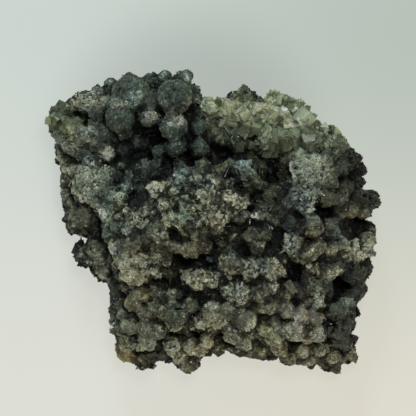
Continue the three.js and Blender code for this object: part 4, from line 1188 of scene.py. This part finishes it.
# Materials. Each takes its tone, with the painted light and shade laid in it, from the attribute laid on the
# points above. The tone is broken up by speckles, by cells at the scale of the grains, each painted lighter
# in its middle and darker at its edge as painted light and shade on tiny grains, and by lines along the
# fibres.
SPECKLE_SCALE = 1700
SPECKLE_DETAIL = 4
SPECKLE_ROUGHNESS = 0.7
CELL_SCALE = 2400
LINE_DETAIL = 2
NOISE_RANGE = (0.3, 0.7)
CELL_RANGE = (0.1, 0.6)
DARK_SPECKLE = 0.6
PALE_SPECKLE = 0.75
GLOSSIEST = 0.75
DULLER = 0.15
RELIEF = 0.3
PREHNITE_IOR = 1.62
GLOW_SHARE = 0.35
GLOW_COLOURS = (1.0, 0.95, 0.6)


def relief(material, height, strength, under=None):
    node = material.node_tree.nodes.new("ShaderNodeBump")
    node.inputs["Strength"].default_value = strength
    node.inputs["Distance"].default_value = RELIEF * MM
    material.node_tree.links.new(height, node.inputs["Height"])
    if under:
        material.node_tree.links.new(under, node.inputs["Normal"])
    return node.outputs["Normal"]


def stone_material(name, roughness, bump, speckles, cell_contrast, fibres, see_through, glow_depth):
    material = bpy.data.materials.new(name)
    material.use_nodes = True
    nodes = material.node_tree.nodes
    links = material.node_tree.links
    shader = nodes["Principled BSDF"]
    place = nodes.new("ShaderNodeTexCoord").outputs["Object"]
    tone = nodes.new("ShaderNodeAttribute")
    tone.attribute_name = "tone"

    speckle = nodes.new("ShaderNodeTexNoise")
    speckle.inputs["Scale"].default_value = SPECKLE_SCALE
    speckle.inputs["Detail"].default_value = SPECKLE_DETAIL
    speckle.inputs["Roughness"].default_value = SPECKLE_ROUGHNESS
    links.new(place, speckle.inputs["Vector"])
    speckle_light = (1 - DARK_SPECKLE * speckles, 1 + PALE_SPECKLE * speckles)
    speckled = ranged(material, speckle.outputs["Fac"], NOISE_RANGE, speckle_light)
    colour = mixed(material, 1, tone.outputs["Color"], speckled, "MULTIPLY")

    cells = nodes.new("ShaderNodeTexVoronoi")
    cells.inputs["Scale"].default_value = CELL_SCALE
    links.new(place, cells.inputs["Vector"])
    # Painted light on the middle of each grain cell, and painted shade at its edge
    cell_light = (1 + cell_contrast, 1 - cell_contrast)
    celled = ranged(material, cells.outputs["Distance"], CELL_RANGE, cell_light)
    colour = mixed(material, 1, colour, celled, "MULTIPLY")

    fibre = nodes.new("ShaderNodeAttribute")
    fibre.attribute_name = "fibre"
    lines = nodes.new("ShaderNodeTexNoise")
    lines.inputs["Scale"].default_value = 1
    lines.inputs["Detail"].default_value = LINE_DETAIL
    links.new(fibre.outputs["Vector"], lines.inputs["Vector"])
    lined = ranged(material, lines.outputs["Fac"], NOISE_RANGE, (1 - fibres, 1 + fibres))
    colour = mixed(material, 1, colour, lined, "MULTIPLY")
    links.new(colour, shader.inputs["Base Color"])

    lined_normal = relief(material, lines.outputs["Fac"], fibres)
    links.new(relief(material, cells.outputs["Distance"], bump, lined_normal), shader.inputs["Normal"])
    gloss_range = (roughness * GLOSSIEST, roughness + DULLER)
    gloss = ranged(material, speckle.outputs["Fac"], (0, 1), gloss_range)
    links.new(gloss, shader.inputs["Roughness"])
    shader.inputs["IOR"].default_value = PREHNITE_IOR
    shader.inputs["Transmission Weight"].default_value = see_through
    if glow_depth:
        shader.inputs["Subsurface Weight"].default_value = GLOW_SHARE
        shader.inputs["Subsurface Radius"].default_value = GLOW_COLOURS
        shader.inputs["Subsurface Scale"].default_value = glow_depth * MM
    return material


# Each with its roughness, bump, speckles, contrast of cells, fibres, share that is seen through and
# depth in mm to which light glows in it
rock_material = stone_material("dark_rock", 0.55, 0.7, 0.7, 0.3, 0.8, 0, 0)
grain_material = stone_material("prehnite_grain", 0.42, 0.8, 0.8, 0.4, 0, 0, 0)
pale_material = stone_material("pale_prehnite", 0.38, 0.5, 0.6, 0.3, 0, 0, 0.5)
clear_material = stone_material("clear_prehnite", 0.25, 0.2, 0.3, 0.1, 0, 0.12, 1.5)
crystal_skin = stone_material("crystal_skin", 0.3, 0.3, 0.3, 0.1, 0.4, 0, 1.5)
glass_material = stone_material("dark_glass", 0.14, 0.1, 0.3, 0.05, 0, 0, 0)
glint_material = stone_material("glint", 0.2, 0.1, 0.3, 0.1, 0, 0, 0)

# Light and dark tone among the crystal faces, differing at random, and painted shade in the seams between
# them
SMALL_FACE_SHADE = 0.2
MIDDLE_FACE_SHADE = 0.25
BLOCK_SEAM_SHADE = 0.45
ROUND_SEAM_CALM = 0.7
CRYSTAL_SEAM_SHADE = 0.25
_, middle_face, small_face = face_owners
block_seam, crystal_seam, _ = seams
skin_crest = crest_share(skin)
face_tone_and_seam_shade = np.exp(rng.normal(scale=SMALL_FACE_SHADE, size=small_face.max() + 1))[small_face]
face_tone_and_seam_shade *= np.exp(rng.normal(scale=MIDDLE_FACE_SHADE, size=middle_face.max() + 1))[middle_face]
# Painted shade in the seams, less on round lumps
seam_shade = 1 - BLOCK_SEAM_SHADE * block_seam * (1 - ROUND_SEAM_CALM * round_share)
face_tone_and_seam_shade *= seam_shade * (1 - CRYSTAL_SEAM_SHADE * crystal_seam)
# The skin's colours, with the painted light and shade of crests, hollows, edges and seams laid in
paint(skin_mesh, painted_light_tones(skin, skin_crest, skin_groups) * (face_tone_and_seam_shade * painted_edge_light)[:, None])
lay_fibres(skin_mesh, skin)
skin_mesh.materials.clear()
skin_mesh.materials.append(rock_material)
skin_mesh.materials.append(crystal_skin)
skin_mesh.shade_flat()
rock = bpy.data.objects.new("rock_body", skin_mesh)
bpy.context.scene.collection.objects.link(rock)
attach(rock, "root")
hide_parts("crystal_cluster")

# Crystal crust. Thousands of small prehnite and epidote crystals grew on the skin: needles, blocks,
# grains and fans of thin plates, each seated flush in the skin and turned outwards.
KINDS = 6
GRAIN_POINTS = 8
NEEDLE_SHAPE = (1.7, 0.6, 0.8)
CRUST_BLOCK_HALF = 0.68
CRUST_BLOCK_ROUGH = 0.14
PLATES = 5
PLATE_SPREAD = 0.3
PLATE_SPREAD_ROUGH = 0.07
PLATE_LENGTHS = (0.75, 1.05)
PLATE_WIDTHS = (0.45, 0.75)
PLATE_THICK = 0.1
PLATE_ROUGH = 0.08
PLATE_SINK = 0.3


def fan_shape():
    leans = PLATE_SPREAD * (np.arange(PLATES) - PLATES // 2)
    leans = leans + rng.normal(scale=PLATE_SPREAD_ROUGH, size=PLATES)
    plates = []
    for lean in leans:
        length, width = rng.uniform(*PLATE_LENGTHS), rng.uniform(*PLATE_WIDTHS)
        plate = CUBE * (width, PLATE_THICK, length / 2) + rng.normal(scale=PLATE_ROUGH, size=CUBE.shape)
        points, faces = hull_shape(plate + (0, 0, length / 2 - PLATE_SINK))
        east, up = math.cos(lean), math.sin(lean)
        plates.append((points @ np.array([[1, 0, 0], [0, east, up], [0, -up, east]]).T, faces))
    return joined_parts(plates)


SHAPES = {"grain": [], "block": [], "fibre": [], "fan": []}
for _ in range(KINDS):
    SHAPES["fan"].append(fan_shape())
    SHAPES["grain"].append(hull_shape(pebble_points(GRAIN_POINTS)))
    block = CUBE * CRUST_BLOCK_HALF + rng.normal(scale=CRUST_BLOCK_ROUGH, size=CUBE.shape)
    SHAPES["block"].append(hull_shape(block))
    SHAPES["fibre"].append(hull_shape(pebble_points(GRAIN_POINTS) * NEEDLE_SHAPE))

corners = np.array([list(p.vertices) + [p.vertices[0]] * (4 - len(p.vertices)) for p in skin_mesh.polygons])
face_centres = skin[corners].mean(1)
face_normals = np.cross(skin[corners[:, 2]] - skin[corners[:, 0]], skin[corners[:, 3]] - skin[corners[:, 1]])
face_areas = np.linalg.norm(face_normals, axis=1)
face_normals /= np.maximum(face_areas, 1e-9)[:, None]
face_group = np.array(GROUPS)[group_weights(face_centres).argmax(1)]
CRUST_FOOT = 1.2
above_floor = face_centres[:, 2] > CRUST_FOOT
CLEAR_GROUPS = ("pale_crystals", "left_tip", "tip_crystals", "bright_crystals", "green_crystals")
skin_mesh.polygons.foreach_set("material_index", np.isin(face_group, CLEAR_GROUPS).astype(np.int32))

BALL_GROUPS = (
    "crown_balls", "upper_edge", "right_balls", "green_domes", "front_balls", "brown_crust",
    "lower_edge", "lower_left", "olive_slab", "right_slab", "right_shoulder", "beige_lumps",
    "ball_fibres",
)
DARK_GROUPS = ("saddle", "plateau_grey", "right_hollow", "dark_skirt", "dark_faces")
PALE_GROUPS = (
    "left_shoulder", "left_edge", "plateau_pale", "plateau_rim", "green_blocks", "cream_edges",
    "pale_green", "blue_white",
)
FAN_GROUPS = ("pale_crystals", "bright_crystals", "green_crystals")
GLINT_GROUPS = BALL_GROUPS + PALE_GROUPS + DARK_GROUPS

# Crust pieces: name, material, groups they grow on, shape, middle radius in mm, how much the sizes differ,
# how much of the skin they cover, how far they stand out, brightness, most crystals. The glints are tiny
# glossy grains painted brighter, as painted highlights.
CRUSTS = (
    ("ball_grains", grain_material, BALL_GROUPS, "fibre", 0.33, 0.25, 0.22, -0.35, 1.0, 12000),
    ("dark_grains", grain_material, DARK_GROUPS, "fibre", 0.36, 0.25, 0.4, -0.35, 1.0, 8000),
    ("pale_grains", pale_material, PALE_GROUPS, "block", 0.4, 0.3, 0.4, -0.3, 1.0, 8000),
    ("ball_fans", grain_material, BALL_GROUPS, "fan", 1.0, 0.3, 0.3, -0.5, 1.05, 2000),
    ("pale_fans", pale_material, PALE_GROUPS, "fan", 1.2, 0.3, 0.3, -0.45, 1.05, 1600),
    ("dark_fans", grain_material, DARK_GROUPS, "fan", 1.3, 0.3, 0.5, -0.45, 1.0, 1600),
    ("dark_glass", glass_material, ("dark_faces",), "fan", 1.5, 0.3, 0.5, -0.35, 0.6, 300),
    ("clear_fans", clear_material, FAN_GROUPS, "fan", 2.0, 0.3, 0.8, -0.52, 1.15, 600),
    ("clear_crystals", clear_material, CLEAR_GROUPS, "block", 1.3, 0.3, 0.5, -0.6, 1.15, 700),
    ("amber_grains", clear_material, ("amber_foot", "amber_lumps"), "grain", 0.5, 0.3, 0.8, -0.4, 1.0, 400),
    ("glints", glint_material, GLINT_GROUPS, "grain", 0.24, 0.25, 0.06, 0, 2.3, 5200),
    ("side_grains", grain_material, ("sides",), "grain", 0.7, 0.35, 0.8, -0.3, 1.0, 9000),
)
# Painted light on the crust crystals: how much lighter towards the tip, and the least crest light of clear
# crystals
TIP_LIGHT = 0.45
CLEAR_CREST = 0.45
LEAN_ROUGH = 0.22
DOWNHILL_ROUGH = 0.25
SEAT_ROUGH = 0.1
SIZE_STRETCH = (0.8, 1.25)
FLATTENED = (1, 1, 0.8)
CREST_ROUGH = 0.15
BRIGHT_ROUGH = 0.17
for crust_name, crust_material, grown_on, shape_name, middle, spread, cover, proud, bright, most in CRUSTS:
    on_crust = np.flatnonzero(np.isin(face_group, grown_on) & above_floor)
    areas = face_areas[on_crust]
    count = int(min(most, cover * areas.sum() / (math.pi * middle ** 2), len(on_crust)))
    picked = rng.choice(on_crust, size=count, replace=False, p=areas / areas.sum())

    # Each crystal stands along the skin's normal, and needles lie downhill.
    normals = face_normals[picked] + rng.normal(scale=LEAN_ROUGH, size=(count, 3))
    normals /= np.linalg.norm(normals, axis=1)[:, None]
    downhill = (0, 0, -1) + normals * normals[:, 2:] + rng.normal(scale=DOWNHILL_ROUGH, size=(count, 3))
    aside = downhill if shape_name == "fibre" else rng.normal(size=(count, 3))
    aside = aside - normals * (aside * normals).sum(1)[:, None]
    aside /= np.linalg.norm(aside, axis=1)[:, None]
    turned = np.stack([aside, np.cross(normals, aside), normals], axis=2)
    radius = middle * np.exp(rng.normal(size=count) * spread)
    sizes = radius[:, None] * rng.uniform(*SIZE_STRETCH, (count, 3)) * FLATTENED
    centres = face_centres[picked] + rng.normal(scale=SEAT_ROUGH, size=(count, 3))
    centres += normals * (radius * proud)[:, None]

    # Its tone is that of the skin under it, with the painted light of the crest share at its tip, and it is
    # painted lighter towards the tip and darker towards its base, as painted light and shade.
    tips = centres + normals * radius[:, None]
    lowest_crest = CLEAR_CREST if crust_material is clear_material else 0
    crest = np.clip(crest_share(tips) + rng.normal(scale=CREST_ROUGH, size=count), lowest_crest, 1)
    colour = bright * painted_light_tones(tips, crest, group_weights(centres))
    colour *= np.exp(rng.normal(scale=BRIGHT_ROUGH, size=(count, 1)))
    kind = rng.integers(0, KINDS, count)
    parts, colours = [], []
    for k, shape in enumerate(SHAPES[shape_name]):
        chosen = np.flatnonzero(kind == k)
        parts.append(placed(shape, centres[chosen], sizes[chosen], turned[chosen]))
        tip_painted_light = np.exp(TIP_LIGHT * (shape[0][:, 2:] - shape[0][:, 2].mean()))
        colours.append((colour[chosen][:, None] * tip_painted_light).reshape(-1, 3))
    points, faces = joined_parts(parts)
    points[:, 2] = np.maximum(points[:, 2], 0)
    crust_mesh = mesh_from(crust_name, points, faces)
    paint(crust_mesh, np.concatenate(colours))
    crust_mesh.materials.append(crust_material)
    crust = bpy.data.objects.new(crust_name, crust_mesh)
    bpy.context.scene.collection.objects.link(crust)
    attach(crust, "root")
    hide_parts("crystal_cluster")
